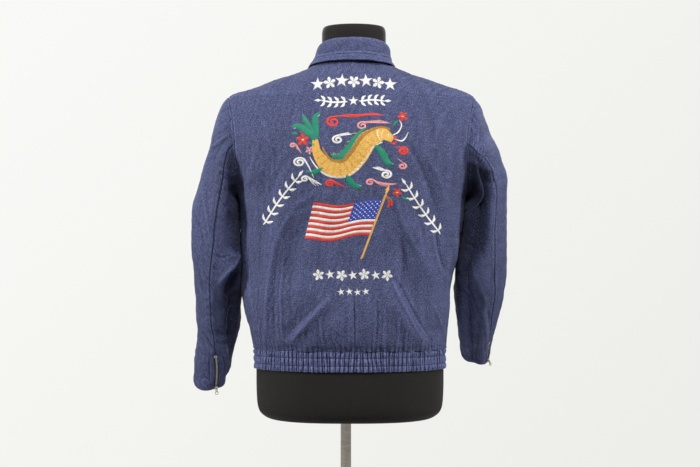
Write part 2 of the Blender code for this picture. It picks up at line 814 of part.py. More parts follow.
def cloth_grids():
    """Every main panel's middle surface with its folds, its normals and its widening at seams."""
    grids = {"back": back_grid(), "front_left": front_grid("left"), "front_right": front_grid("right")}
    centres = {name: np.zeros(3) for name in grids}
    normals = {}
    for name, grid in grids.items():
        inside = grid * 0
        inside[..., 2] = np.minimum(grid[..., 2], UNDERARM_Z)
        inside[..., 0] = grid[..., 0] * 0.4
        normals[name] = grid_normals(grid, inside)
        centres[name] = inside
    seam_normals, _ = share_normals(grids, normals)
    for name in list(grids):
        flat = grids[name].reshape(-1, 3)
        lift = body_fold_offset(flat).reshape(grids[name].shape[:2])
        grids[name] = grids[name] + seam_normals[name] * lift[..., None]
        normals[name] = grid_normals(grids[name], centres[name])
    alongs = {}
    for side in ("left", "right"):
        rings = sleeve_rings(side)
        alongs[side] = ring_places()
        closed = np.concatenate([rings[:, -1:], rings, rings[:, :1]], axis=1)
        middle = np.broadcast_to(rings.mean(axis=1, keepdims=True), closed.shape)
        ring_normals = grid_normals(closed, middle)[:, 1:-1]
        turns = np.degrees(2 * math.pi * np.arange(rings.shape[1]) / rings.shape[1])
        all_turns = np.tile(turns, len(rings))
        all_alongs = np.repeat(alongs[side], rings.shape[1])
        lift = sleeve_fold_offset(side, all_turns, all_alongs).reshape(rings.shape[:2])
        rings = rings + ring_normals * lift[..., None]
        closed = np.concatenate([rings[:, -1:], rings, rings[:, :1]], axis=1)
        ring_normals = grid_normals(closed, middle)[:, 1:-1]
        count = rings.shape[1]
        outer = [(BACK_SEAM_STEP - j) % count for j in range(BACK_SEAM_STEP + FRONT_SEAM_STEP + 1)]
        under = [BACK_SEAM_STEP + j for j in range(count - BACK_SEAM_STEP - FRONT_SEAM_STEP + 1)]
        for part, columns in (("top", outer), ("under", under)):
            name = f"sleeve_{side}_{part}"
            grids[name] = rings[:, columns]
            normals[name] = ring_normals[:, columns]
    grids["collar"], normals["collar"] = collar_grid()
    shared, widen = share_normals(grids, normals)
    for name in ("back", "front_left", "front_right"):
        level = shared[name][0].copy()
        level[:, 2] = 0
        shared[name][0] = unit(level)
    return grids, shared, widen, alongs


def collar_grid():
    """The collar's middle surface: rows from the neck seam over the fold to the edge."""
    points = [neckline_point(x, "front") for x in neck_columns("left", "front")[::-1]]
    points += [neckline_point(x, "back") for x in neck_columns("left", "back")[1:]]
    points += [neckline_point(x, "back") for x in neck_columns("right", "back")[-2::-1]]
    points += [neckline_point(x, "front") for x in neck_columns("right", "front")[1:]]
    base = np.array(points)
    base[NECK_STEPS, 1] = base[-NECK_STEPS - 1, 1] = 0.0
    lengths = np.linalg.norm(np.diff(base, axis=0), axis=1)
    middle = len(base) // 2
    run = np.concatenate([[0], np.cumsum(lengths)]) - lengths[:middle].sum()
    share = np.where(run < 0, run / lengths[:middle].sum(), run / lengths[middle:].sum())
    sign = np.sign(share)
    size = np.abs(share)
    column = {name: curve(size) for name, curve in COLLAR_CURVES.items()}
    fold = np.stack([sign * column["fold_x"], column["fold_y"], column["fold_z"]], axis=1)
    edge = np.stack([sign * column["edge_x"], column["edge_y"], column["edge_z"]], axis=1)
    settle = np.where(size < 0.66, 1.0, np.cos(math.pi / 2 * np.clip((size - 0.66) / 0.34, 0, 1)))
    fold[:, 0] += COLLAR_SHIFT * settle
    edge[:, 0] += COLLAR_SHIFT / 2 * settle
    away = edge - fold
    away[:, 2] = 0
    away = unit(away)
    drop = np.array([0.0, 0.0, -FOLD_RADIUS])
    inner_side = fold - away * FOLD_RADIUS * 0.8 + drop
    outer_side = fold + away * FOLD_RADIUS + drop
    hollow = away * FALL_HOLLOW
    rows = [
        base,
        base + (inner_side - base) * 0.5,
        inner_side,
        fold,
        outer_side,
        outer_side + (edge - outer_side) * 0.5 - hollow,
        edge,
    ]
    grid = np.array(rows)
    along = np.gradient(grid, axis=0)
    across = np.gradient(grid, axis=1)
    normals = unit(np.cross(across, along))
    facing = np.sum(normals[1] * away)
    return grid, (normals if facing > 0 else -normals)


def build_panel(name, grid, normals, widen, gaps, cloth, made):
    grid = trim(grid, normals, gaps)
    half = (cloth / 2 * widen)[..., None] if np.ndim(widen) else cloth / 2
    return wall(name, grid + normals * half, grid - normals * half, made)


def build_cloth(denim):
    """The body panels, the sleeves and the collar, each stood back from its seams."""
    grids, normals, widen, alongs = cloth_grids()
    seam = SEAM_GAP / 2
    body_rows = {"first_row": seam, "last_row": seam, "first_column": seam}
    for name in ("back", "front_left", "front_right"):
        gaps = dict(body_rows)
        if name == "back":
            gaps["last_column"] = seam
        build_panel(name, grids[name], normals[name], widen[name], gaps, CLOTH, denim)
    for side in ("left", "right"):
        opening = np.where(
            alongs[side] > CUFF_ZIP_START, CHAIN_HALF_WIDTH + ZIP_SIDE_GAP, seam
        )
        hem = np.where(alongs[side] > CUFF_HEM_START, HEM_CLOTH / CLOTH, 1.0)[:, None]
        for part in ("top", "under"):
            name = f"sleeve_{side}_{part}"
            gaps = {"first_row": ARMHOLE_SEAM_GAP, "first_column": opening, "last_column": seam}
            build_panel(name, grids[name], normals[name], widen[name] * hem, gaps, CLOTH, denim)
        build_cuff_zip(side, grids, normals, alongs[side])
    build_panel(
        "collar", grids["collar"], normals["collar"], widen["collar"],
        {"first_row": COLLAR_SEAM_GAP}, COLLAR_CLOTH, denim,
    )


def band_curve(z, share, lift):
    """A point of the waistband, lift outside the dress form's surface."""
    point = ring_point(share, z)
    shift = np.array([FORM[5].side / 176.0, FORM[5].back / 107.0, 1.0])
    base = point * shift
    slope = np.stack([point[..., 0] / 176.0**2, point[..., 1] / 107.0**2, 0 * point[..., 0]], axis=-1)
    return base + unit(slope) * lift[..., None]


def build_band(name, shares, gathers, denim):
    """A stretch of waistband: a plain inside, and gathers that stand out between the stitch rows."""
    rows = []
    inner = []
    for row in BAND_ROWS:
        z = row.z - (SEAM_GAP if row.z == BAND_TOP_Z else 0.0)
        z_row = np.full(len(shares), z)
        lift = np.full(len(shares), BAND_CLEARANCE)
        inner.append(band_curve(z_row, shares, lift))
        rows.append(band_curve(z_row, shares, lift + BAND_THICKNESS + gathers * row.gather))
    return wall(name, np.array(rows), np.array(inner), denim)


def build_waistband(denim):
    """The elastic back and the two front lengths, which end in flat tabs beside the zip."""
    left = -float(SIDE_SEAM_CURVES["left"](HEM_Z))
    right = float(SIDE_SEAM_CURVES["right"](HEM_Z))
    gap = SEAM_GAP / 2 / 190.0
    steps = np.arange(2 * BACK_GATHERS + 1)
    shares = left + gap + (right - left - 2 * gap) * steps / (2 * BACK_GATHERS)
    uneven = 0.75 + 0.25 * np.sin(steps * 1.7) * np.cos(steps * 0.61)
    build_band("waistband_back", shares, GATHER_HEIGHT * (steps % 2) * uneven, denim)
    for side, seam in (("left", left), ("right", right)):
        sign = -1 if side == "left" else 1
        close = 2 - ZIP_HALF_GAP / 173.0 / (math.pi / 2) ** (2 / SIDE_POWER)
        tab = 2 - FRONT_TAB / 173.0 / (math.pi / 2) ** (2 / SIDE_POWER)
        steps = np.arange(2 * FRONT_GATHERS + 1)
        start = abs(seam) + gap
        elastic = start + (tab - start) * steps / (2 * FRONT_GATHERS)
        flat = np.linspace(tab, close, 5)[1:]
        uneven = 0.8 + 0.2 * np.sin(steps * 2.3)
        gathers = np.concatenate([GATHER_HEIGHT * (steps % 2) * uneven, np.full(4, 0.6)])
        build_band(f"waistband_{side}", sign * np.concatenate([elastic, flat]), gathers, denim)


# Zips.


def build_chain(name, middle, across, outward, metal):
    """A closed zip chain: a strip along middle, as wide and thick as its teeth."""
    offsets = np.array([-1.0, 0.0, 1.0]) * CHAIN_HALF_WIDTH
    centre = middle[:, None] + across[:, None] * offsets[None, :, None]
    crown = np.array([0.0, 0.25, 0.0])[None, :, None]
    half = CHAIN_THICKNESS / 2
    outer = centre + outward[:, None] * (half + crown)
    inner = centre - outward[:, None] * (half + 0 * crown)
    return wall(name, outer, inner, metal)


def frame_matrix(origin, across, along, outward):
    """A placement whose X runs across the zip, Y along it and Z out of the cloth."""
    rows = [[across[i], along[i], outward[i], origin[i] * MM] for i in range(3)]
    return Matrix.Translation((FORM_OFFSET * MM, 0, 0)) @ Matrix([*rows, [0, 0, 0, 1]])


def prism(outline, low, high):
    """A closed prism: an outline in X and Y, between two heights, in millimetres."""
    mesh = bmesh.new()
    bottom = [mesh.verts.new((x * MM, y * MM, low * MM)) for x, y in outline]
    top = [mesh.verts.new((x * MM, y * MM, high * MM)) for x, y in outline]
    mesh.faces.new(bottom)
    mesh.faces.new(top)
    count = len(outline)
    for i in range(count):
        j = (i + 1) % count
        mesh.faces.new((bottom[i], bottom[j], top[j], top[i]))
    bmesh.ops.recalc_face_normals(mesh, faces=mesh.faces)
    return mesh


def rectangle(width, start, end):
    half = width / 2
    return [(-half, start), (half, start), (half, end), (-half, end)]


def arc(centre_x, centre_y, radius, start_degrees, end_degrees, count):
    angles = np.radians(np.linspace(start_degrees, end_degrees, count))
    return [(centre_x + radius * math.cos(a), centre_y + radius * math.sin(a)) for a in angles]


def build_slider(name, placement, metal):
    """A slider: a waisted plate with a bridge over the pull's cross bar. Z = 0 is the hinge line."""
    half = SLIDER_WIDTH / 2
    end = SLIDER_LENGTH / 2
    outline = [
        (-half, -end * 0.45), (-half * 0.8, -end), (half * 0.8, -end), (half, -end * 0.45),
        (half * 0.72, end * 0.8), (half * 0.5, end), (-half * 0.5, end), (-half * 0.72, end * 0.8),
    ]
    top = -PIVOT_HEIGHT
    plate = finish(name, prism(outline, top - SLIDER_THICKNESS, top), metal)
    length = BRIDGE_HALF_LENGTH
    leg = BRIDGE_LEG
    foot = top - 0.3
    under = top + TUNNEL_HEIGHT
    crown = under + BRIDGE_LEG
    side = [
        (-length, foot), (-length, under), (-length + leg, crown), (length - leg, crown),
        (length, under), (length, foot), (length - leg, foot), (length - leg, under),
        (-length + leg, under), (-length + leg, foot),
    ]
    bridge = prism(side, -BRIDGE_WIDTH / 2, BRIDGE_WIDTH / 2)
    bridge.transform(Matrix(((0, 0, 1, 0), (1, 0, 0, 0), (0, 1, 0, 0), (0, 0, 0, 1))))
    boolean(plate, finish("bridge", bridge, metal), "UNION")
    plate.matrix_world = placement
    return plate


def build_pull(name, placement, metal):
    """A pull: a cross bar, two arms round the bridge and a ring. Its origin is the hinge line."""
    neck = PULL_NECK_WIDTH / 2
    outline = [(-neck, -PULL_BAR), (neck, -PULL_BAR), (neck, PULL_WINDOW_END)]
    outline += arc(0, PULL_RING_CENTRE, PULL_RING_RADIUS, -40, 220, 15)
    outline += [(-neck, PULL_WINDOW_END)]
    half = PULL_THICKNESS / 2
    plate = finish(name, prism(outline, -half, half), metal)
    window = prism(rectangle(PULL_WINDOW_WIDTH, PULL_BAR, PULL_WINDOW_END), -1, 1)
    hole = prism(arc(0, PULL_RING_CENTRE, PULL_RING_HOLE, 0, 330, 12), -1, 1)
    boolean(plate, finish("window", window, metal), "DIFFERENCE")
    boolean(plate, finish("hole", hole, metal), "DIFFERENCE")
    plate.matrix_world = placement
    return plate


def build_eyelet(name, placement, metal):
    """A small turned ring that closes the top of a cuff zip."""
    mesh = bmesh.new()
    profile = [
        (EYELET_HOLE, 0), (EYELET_RADIUS, 0), (EYELET_RADIUS, EYELET_THICKNESS * 0.6),
        (EYELET_RADIUS * 0.72, EYELET_THICKNESS), (EYELET_HOLE, EYELET_THICKNESS * 0.7),
    ]
    verts = [mesh.verts.new((r * MM, 0, z * MM)) for r, z in profile]
    edges = [mesh.edges.new((verts[i], verts[(i + 1) % len(verts)])) for i in range(len(verts))]
    bmesh.ops.spin(
        mesh, geom=verts + edges, axis=(0, 0, 1), cent=(0, 0, 0), angle=2 * math.pi, steps=10,
        use_merge=True,
    )
    bmesh.ops.remove_doubles(mesh, verts=mesh.verts, dist=0.00001)
    bmesh.ops.recalc_face_normals(mesh, faces=mesh.faces)
    ring = finish(name, mesh, metal)
    ring.matrix_world = placement
    return ring


def hinge_frame(along, outward):
    """Across, along and outward at right angles to each other."""
    along = unit(along)
    outward = unit(outward - along * (outward @ along))
    return unit(np.cross(along, outward)), along, outward


def place_slider_and_pull(label, surface_point, along, outward, hang, metal):
    """A slider on the chain, and its pull swung by hang degrees away from the cloth."""
    across, along, outward = hinge_frame(along, outward)
    lift = CHAIN_THICKNESS / 2 + 0.25 + SLIDER_SEAT_GAP + SLIDER_THICKNESS + PIVOT_HEIGHT
    pivot = surface_point + outward * lift
    build_slider(f"{label}_slider", frame_matrix(pivot, across, along, outward), metal)
    angle = math.radians(hang)
    pull_along = along * math.cos(angle) + outward * math.sin(angle)
    pull_outward = outward * math.cos(angle) - along * math.sin(angle)
    build_pull(f"{label}_pull", frame_matrix(pivot, across, pull_along, pull_outward), metal)


def build_cuff_zip(side, grids, normals, alongs):
    """The zip that closes the last stretch of the sleeve's back seam."""
    metal = bpy.data.materials["zip metal"]
    seam = grids[f"sleeve_{side}_top"][:, 0]
    outward = normals[f"sleeve_{side}_top"][:, 0]
    neighbour = grids[f"sleeve_{side}_top"][:, 1]
    rows = np.where(alongs > CUFF_ZIP_START)[0]
    middle = seam[rows]
    run = unit(np.gradient(middle, axis=0))
    out = unit(outward[rows] - run * np.sum(outward[rows] * run, axis=1, keepdims=True))
    across = unit(np.cross(run, out))
    if np.sum(across * (neighbour[rows] - middle)) < 0:
        across = -across
    build_chain(f"cuff_{side}_zip", middle, across, out, metal)
    across, along, outward_top = hinge_frame(run[0], out[0])
    eyelet = middle[0] - run[0] * (EYELET_RADIUS + 0.4) + outward_top * (CLOTH / 2 + 0.75)
    build_eyelet(f"cuff_{side}_eyelet", frame_matrix(eyelet, across, along, outward_top), metal)
    across, along, outward_end = hinge_frame(run[-1], out[-1])
    hang = max(0.0, math.degrees(math.atan2(-outward_end[2], -along[2])))
    place = middle[-1] - along * (SLIDER_LENGTH / 2 - 1.0)
    place_slider_and_pull(f"cuff_{side}", place, along, outward_end, hang, metal)


def build_front_zip(metal):
    """The zip from the waistband's lower edge to the neck, with its slider at the top."""
    heights = np.concatenate([np.linspace(HEM_Z, BAND_TOP_Z, 3), np.linspace(984, NECK_FRONT_Z, 16)])
    depth = np.where(heights <= BAND_TOP_Z, FORM[5].front + 1.6, TORSO_CURVES["front"](heights))
    middle = np.stack([np.zeros_like(heights), depth, heights], axis=1)
    run = unit(np.gradient(middle, axis=0))
    across = np.tile([1.0, 0.0, 0.0], (len(heights), 1))
    outward = unit(np.cross(across, run))
    outward = np.where(outward[:, 1:2] < 0, -outward, outward)
    build_chain("front_zip", middle, across, outward, metal)
    along = unit(middle[-2] - middle[-1])
    place = middle[-1] + along * (SLIDER_LENGTH / 2 + 5.0)
    place_slider_and_pull("front", place, along, np.array([0.0, 1.0, 0.0]), 0.0, metal)


# The dress form and its stand.


def ring_stack(name, rings, made):
    """A closed solid through level rings of points, with a flat cap at each end."""
    mesh = bmesh.new()
    layers = [[mesh.verts.new(Vector(point) * MM) for point in ring] for ring in rings]
    count = len(layers[0])
    for low, high in zip(layers, layers[1:]):
        for j in range(count):
            k = (j + 1) % count
            mesh.faces.new((low[j], low[k], high[k], high[j]))
    mesh.faces.new(layers[0])
    mesh.faces.new(layers[-1])
    bmesh.ops.recalc_face_normals(mesh, faces=mesh.faces)
    return finish(name, mesh, made)


def form_ring(row):
    """One level section of the form, never wider than the cloth above it allows."""
    drop = CLOTH / 2 + FORM_CLEARANCE + 0.35
    shares = np.linspace(-2, 2, FORM_SEGMENTS, endpoint=False)
    points = []
    for share in shares:
        side = "left" if share < 0 else "right"
        room = float(TORSO_CURVES[side](row.z + drop)) if row.z > SHOULDER_TIP_Z else 1e3
        width = min(row.side, room)
        ratio = ring_point(share, UNDERARM_Z)
        x = ratio[0] / float(TORSO_CURVES[side](UNDERARM_Z)) * width
        facing = "back" if ratio[1] < 0 else "front"
        y = ratio[1] / float(TORSO_CURVES[facing](UNDERARM_Z)) * getattr(row, facing)
        points.append((x, y, row.z))
    return points


def build_form(cover, steel, painted):
    """The torso with its neck, on a round pole in a heavy round foot."""
    torso = ring_stack("dress_form", [form_ring(row) for row in FORM], cover)
    turns = 2 * math.pi * np.arange(28) / 28
    neck_profile = [(NECK_BASE_Z, 1.0), (NECK_TOP_Z - 15, 1.0), (NECK_TOP_Z - 8.5, 0.985)]
    neck_profile += [(NECK_TOP_Z - 5.5, 0.935), (NECK_TOP_Z - 3, 0.84), (NECK_TOP_Z, 0.55)]
    neck_rings = [
        [(NECK_OFFSET + NECK_RADIUS * k * math.cos(t), NECK_DEPTH * k * math.sin(t), z) for t in turns]
        for z, k in neck_profile
    ]
    boolean(torso, ring_stack("neck", neck_rings, cover), "UNION")
    torso.data.shade_smooth()
    torso.data.set_sharp_from_angle(angle=math.radians(40))

    def circle(radius, z, count=24):
        return [
            (radius * math.cos(2 * math.pi * j / count), radius * math.sin(2 * math.pi * j / count), z)
            for j in range(count)
        ]

    pole_foot = FOOT_THICKNESS + 0.3
    pole = ring_stack("pole", [circle(POLE_RADIUS, pole_foot), circle(POLE_RADIUS, POLE_TOP_Z)], steel)
    pole.location.x = 0
    build_foot(painted, pole_foot)


def build_foot(painted, socket_floor):
    """A turned plate with a low hub, bored to take the pole."""
    mesh = bmesh.new()
    bore = POLE_RADIUS + 0.3
    profile = [
        (0, 0), (FOOT_RADIUS - FOOT_EDGE, 0), (FOOT_RADIUS, FOOT_EDGE),
        (FOOT_RADIUS, FOOT_THICKNESS - FOOT_EDGE), (FOOT_RADIUS - FOOT_EDGE, FOOT_THICKNESS),
        (HUB_RADIUS, FOOT_THICKNESS), (HUB_RADIUS, HUB_HEIGHT - FOOT_EDGE),
        (HUB_RADIUS - FOOT_EDGE, HUB_HEIGHT), (bore, HUB_HEIGHT), (bore, socket_floor - 0.3),
        (0, socket_floor - 0.3),
    ]
    verts = [mesh.verts.new((r * MM, 0, z * MM)) for r, z in profile]
    edges = [mesh.edges.new((a, b)) for a, b in zip(verts, verts[1:])]
    bmesh.ops.spin(
        mesh, geom=verts + edges, axis=(0, 0, 1), cent=(0, 0, 0), angle=2 * math.pi, steps=24,
        use_merge=True,
    )
    bmesh.ops.remove_doubles(mesh, verts=mesh.verts, dist=0.00001)
    bmesh.ops.dissolve_degenerate(mesh, edges=mesh.edges, dist=0.000001)
    bmesh.ops.recalc_face_normals(mesh, faces=mesh.faces)
    finish("foot", mesh, painted).location.x = 0


def build():
    for thing in list(bpy.data.objects):
        bpy.data.objects.remove(thing)
    denim = material("indigo denim", (0.085, 0.1, 0.21), 0.9)
    metal = material("zip metal", (0.62, 0.6, 0.55), 0.35, 1.0)
    cover = material("black cover", (0.018, 0.017, 0.017), 0.85)
    steel = material("satin steel", (0.6, 0.58, 0.54), 0.3, 1.0)
    painted = material("black paint", (0.03, 0.03, 0.03), 0.5)
    build_cloth(denim)
    build_waistband(denim)
    build_front_zip(metal)
    build_form(cover, steel, painted)


build()
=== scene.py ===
# %% [markdown]
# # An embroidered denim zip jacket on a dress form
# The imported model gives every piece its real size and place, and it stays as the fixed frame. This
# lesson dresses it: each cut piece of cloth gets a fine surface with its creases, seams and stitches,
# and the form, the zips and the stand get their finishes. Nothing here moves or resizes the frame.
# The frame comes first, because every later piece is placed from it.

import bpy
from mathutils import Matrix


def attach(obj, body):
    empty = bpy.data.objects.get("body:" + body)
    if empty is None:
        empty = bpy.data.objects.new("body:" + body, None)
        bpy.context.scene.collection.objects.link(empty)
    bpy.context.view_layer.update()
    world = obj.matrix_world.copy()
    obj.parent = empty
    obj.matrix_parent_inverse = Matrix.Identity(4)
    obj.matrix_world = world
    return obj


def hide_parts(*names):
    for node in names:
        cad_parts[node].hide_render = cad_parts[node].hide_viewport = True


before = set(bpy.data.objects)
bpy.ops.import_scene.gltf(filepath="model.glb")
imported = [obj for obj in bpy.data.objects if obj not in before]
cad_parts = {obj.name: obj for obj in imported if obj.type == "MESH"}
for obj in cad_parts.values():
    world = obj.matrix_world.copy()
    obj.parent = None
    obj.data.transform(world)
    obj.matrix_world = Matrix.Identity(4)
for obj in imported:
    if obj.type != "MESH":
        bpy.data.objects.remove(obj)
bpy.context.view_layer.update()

# %% [markdown]
# Cloth is drawn here in millimetres, as a pattern cutter would write it, and turned into metres when a
# mesh is made. The whole jacket stands a few millimetres to one side of the pole, as in the photograph.
# Every shape is read from a short table through a curve that doesn't overshoot, because an overshoot
# would show as a dent across the back. A few soft shapes do the rest: a step, a bell and a ripple. The
# ripples are seeded, so each run gives the same jacket.

# %% Units, curves and small helpers
import math

import bpy
import numpy as np
from mathutils import Vector
from mathutils.bvhtree import BVHTree

MM = 0.001
JACKET_SHIFT = 7.6
BODY = "jacket_on_form"
SIDES = ("left", "right")
FULL_TURN = 2 * math.pi


def smooth_curve(xs, ys):
    """A curve through the values that doesn't overshoot between them. Each value may be a whole row."""
    xs, ys = np.asarray(xs, float), np.asarray(ys, float)
    steps = np.diff(xs).reshape((-1,) + (1,) * (ys.ndim - 1))
    rises = np.diff(ys, axis=0) / steps
    slopes = np.zeros_like(ys)
    slopes[0], slopes[-1] = rises[0], rises[-1]
    same_way = rises[:-1] * rises[1:] > 0
    before = np.where(same_way, rises[:-1], 1.0)
    after = np.where(same_way, rises[1:], 1.0)
    a = 2 * steps[1:] + steps[:-1]
    b = steps[1:] + 2 * steps[:-1]
    slopes[1:-1] = np.where(same_way, (a + b) / (a / before + b / after), 0.0)

    def curve(x):
        x = np.clip(np.asarray(x, float), xs[0], xs[-1])
        i = np.clip(np.searchsorted(xs, x) - 1, 0, len(steps) - 1)
        h = steps[i].reshape(x.shape + (1,) * (ys.ndim - 1))
        t = (x - xs[i]).reshape(h.shape) / h
        start = ys[i] * (1 + 2 * t) * (1 - t) ** 2 + slopes[i] * h * t * (1 - t) ** 2
        return start + ys[i + 1] * t**2 * (3 - 2 * t) - slopes[i + 1] * h * t**2 * (1 - t)

    return curve


def curves_of(table, key):
    return {name: smooth_curve(table[key], column) for name, column in table.items() if name != key}


def smoothstep(t):
    t = np.clip(t, 0.0, 1.0)
    return t * t * (3 - 2 * t)


def bell(distance, width):
    """1 at no distance, falling softly to nothing within about two widths."""
    return np.exp(-((distance / width) ** 2))


def unit(vectors):
    length = np.linalg.norm(vectors, axis=-1, keepdims=True)
    return vectors / np.maximum(length, 1e-9)


def signed_power(values, power):
    return np.sign(values) * np.abs(values) ** power


def lengths_along(points):
    """How far along a line each of its points lies."""
    return np.concatenate([[0], np.cumsum(np.linalg.norm(np.diff(points, axis=0), axis=1))])


def ripple(u, v, wavelength, stretch=1.0, seed=0):
    """Soft irregular waves, about -1 to 1, over two lengths given in the wavelength's unit."""
    draw = np.random.default_rng(seed)
    total = np.zeros(np.shape(u))
    for _ in range(14):
        angle = draw.uniform(0, math.pi)
        size = draw.uniform(0.6, 1.6) / wavelength
        shift = draw.uniform(0, FULL_TURN)
        total += np.sin(FULL_TURN * size * (u * math.cos(angle) + v * math.sin(angle) / stretch) + shift)
    return total / math.sqrt(14)


print("helpers ready")

# %% [markdown]
# The camera comes early, because the creases further down are placed where the photograph shows them.
# It stands 3 m behind the wearer's back, level with the middle of the picture, with a long lens. At the
# form's middle one pixel of the 700 x 467 picture then covers 1.85 mm. A small function turns a point of
# the jacket into its place in the picture, so a crease can be laid down by its pixels and still lie in
# the real cloth.

# %% The camera
CAMERA_DISTANCE = 3000.0
CAMERA_HEIGHT = 1179.0
PIXEL = 1.85
PICTURE_WIDTH = 700
PICTURE_MIDDLE = (350.4, 233.5)
SENSOR = 36.0

camera_data = bpy.data.cameras.new("camera")
camera_data.sensor_width = SENSOR
camera_data.lens = SENSOR * CAMERA_DISTANCE / (PIXEL * PICTURE_WIDTH)
camera = bpy.data.objects.new("camera", camera_data)
camera.location = (JACKET_SHIFT * MM, -CAMERA_DISTANCE * MM, CAMERA_HEIGHT * MM)
camera.rotation_euler = (math.pi / 2, 0, 0)
bpy.context.scene.collection.objects.link(camera)
bpy.context.scene.camera = camera


def in_picture(points):
    """Where points of the jacket, in millimetres, fall in the picture, in its pixels."""
    scale = PIXEL * (CAMERA_DISTANCE + points[..., 1]) / CAMERA_DISTANCE
    across = PICTURE_MIDDLE[0] + points[..., 0] / scale
    down = PICTURE_MIDDLE[1] - (points[..., 2] - CAMERA_HEIGHT) / scale
    return np.stack([across, down], axis=-1)


print(f"camera lens {camera_data.lens:.1f} mm")

# %% [markdown]
# A jacket's body is a tube of level sections. Each row below gives one section's half-widths and depths,
# and a rounded formula joins them, flatter than an ellipse because a back is flat between its sides. The
# shoulders close over by the same formula: the half-width shrinks to the shoulder line, so the cloth
# rolls over it instead of ending in an edge. The table is the frame's own, so the cloth lies on it.

# %% The body's sections
HEM_Z, BAND_TOP_Z, UNDERARM_Z, TIP_Z = 931.0, 968.0, 1255.0, 1430.0
NECK_SIDE_Z, NECK_BACK_Z, NECK_FRONT_Z = 1492.0, 1497.0, 1430.0
ZIP_HALF_GAP = 2.8
SIDE_POWER, DEPTH_POWER = 2.5, 2.0
CLOTH = 1.6

TORSO = {
    "z": [920, 968, 982, 1000, 1020, 1040, 1075, 1100, 1130, 1160, 1200, 1235, 1255, 1290, 1340, 1390,
          1430, 1439, 1449, 1460, 1471, 1482, 1492, 1500],
    "left": [176, 176, 179, 183, 189, 195, 199, 199, 199, 200, 201, 203.5, 207.5, 220, 238, 233,
             223, 199, 169.5, 141, 105, 77, 64.5, 59],
    "right": [176, 175.5, 177, 179, 181.5, 183.5, 184.5, 189, 197, 203, 208, 211, 215, 227, 242, 238,
              228, 211, 183, 150.5, 115, 86, 71.5, 66],
    "back": [107, 107, 113, 117, 119, 119, 116, 113, 111, 111, 113, 116, 117, 118, 116, 108,
             97, 94, 90, 86, 81, 75, 72, 67],
    "front": [107, 107, 112, 116, 118, 118, 116, 115, 115, 117, 121, 124, 125, 125, 118, 100,
              76, 68, 60, 54, 48, 42, 38, 34],
}
ARMHOLE = {
    "z": [1255, 1290, 1340, 1390, 1430],
    "left": [207.5, 206, 208.5, 214, 223],
    "right": [215, 212.5, 212, 218, 228],
}
# Where the side seams run round the body: 0 is centre back, 1 the side and 2 centre front.
SIDE_SEAM = {
    "z": [920, 1000, 1120, 1200, 1255],
    "left": [0.73, 0.74, 0.80, 0.90, 1.00],
    "right": [1.04, 1.04, 1.03, 1.01, 1.00],
}
torso = curves_of(TORSO, "z")
armhole = curves_of(ARMHOLE, "z")
side_seam = curves_of(SIDE_SEAM, "z")


def half_width(x, z):
    return np.where(np.asarray(x) < 0, torso["left"](z), torso["right"](z))


def armhole_reach(x, z):
    return np.where(np.asarray(x) < 0, armhole["left"](z), armhole["right"](z))


def depth_at(x, z, face):
    ratio = np.clip(np.abs(x) / half_width(x, z), 0.0, 1.0)
    return torso[face](z) * (1 - ratio**SIDE_POWER) ** (1 / DEPTH_POWER)


def ring_point(share, z):
    """A point of a level section, share being 0 at centre back, 1 or -1 at the sides and 2 in front."""
    size = np.abs(share)
    quarter = np.clip(np.where(size <= 1, size, 2 - size), 0, 1)
    angle = math.pi / 2 * quarter ** (SIDE_POWER / 2)
    x = np.sign(share) * half_width(share, z) * np.sin(angle) ** (2 / SIDE_POWER)
    deep = np.where(size <= 1, -torso["back"](z), torso["front"](z))
    y = deep * np.cos(angle) ** (2 / DEPTH_POWER)
    return np.stack([x, y, np.broadcast_to(z, np.shape(x))], axis=-1)


print("chest half-depth", float(torso["back"](UNDERARM_Z)), "mm behind")

# %% [markdown]
# Each body panel is a grid of points. Below the underarm its rows are level sections from side seam to
# side seam. Above it they close in from the armhole to the shoulder and neck line. Rows are closer near
# the waistband, where the gathers are, and near the underarm, where the armhole turns quickly. Grids like
# this keep every seam as one row or column, which makes sewing detail easy to add afterwards.

# %% Shoulder line, neckline and rows
SHOULDER_STEPS, NECK_STEPS = 92, 40
LOWER_ROWS, UPPER_ROWS = 116, 98
HEIGHTS_MIX = 0.85


def shoulder_line(side):
    sign = -1 if side == "left" else 1
    xs = np.linspace(torso[side](TIP_Z), torso[side](NECK_SIDE_Z), SHOULDER_STEPS + 1)
    heights = np.linspace(TIP_Z, NECK_SIDE_Z, 200)
    z = np.interp(-xs, -torso[side](heights), heights)
    return np.stack([sign * xs, 0 * xs, z], axis=1)


def neckline(xs, face):
    side = half_width(xs, NECK_SIDE_Z)
    ratio = np.minimum(1.0, np.abs(xs) / side)
    if face == "back":
        z = NECK_BACK_Z + (NECK_SIDE_Z - NECK_BACK_Z) * ratio**2
        return np.stack([xs, -depth_at(xs, z, "back"), z], axis=1)
    z = NECK_FRONT_Z + (NECK_SIDE_Z - NECK_FRONT_Z) * ratio**2.2
    return np.stack([xs, depth_at(xs, z, "front"), z], axis=1)


def neck_columns(side, face, steps=NECK_STEPS):
    sign = -1 if side == "left" else 1
    reach = float(torso[side](NECK_SIDE_Z))
    spread = np.sin(np.linspace(math.pi / 2, 0, steps))
    if face == "back":
        return sign * reach * spread
    return sign * (ZIP_HALF_GAP + (reach - ZIP_HALF_GAP) * spread)


def lower_heights():
    t = np.linspace(0, 1, LOWER_ROWS + 1)[:-1]
    return BAND_TOP_Z + (UNDERARM_Z - BAND_TOP_Z) * (0.55 * t + 0.45 * t * t)


def upper_shares():
    t = np.linspace(0, 1, UPPER_ROWS + 1)
    return (1 - HEIGHTS_MIX) * t + HEIGHTS_MIX * (1 - np.cos(math.pi * t)) / 2


print("rows:", LOWER_ROWS, "below the underarm and", UPPER_ROWS, "above it")

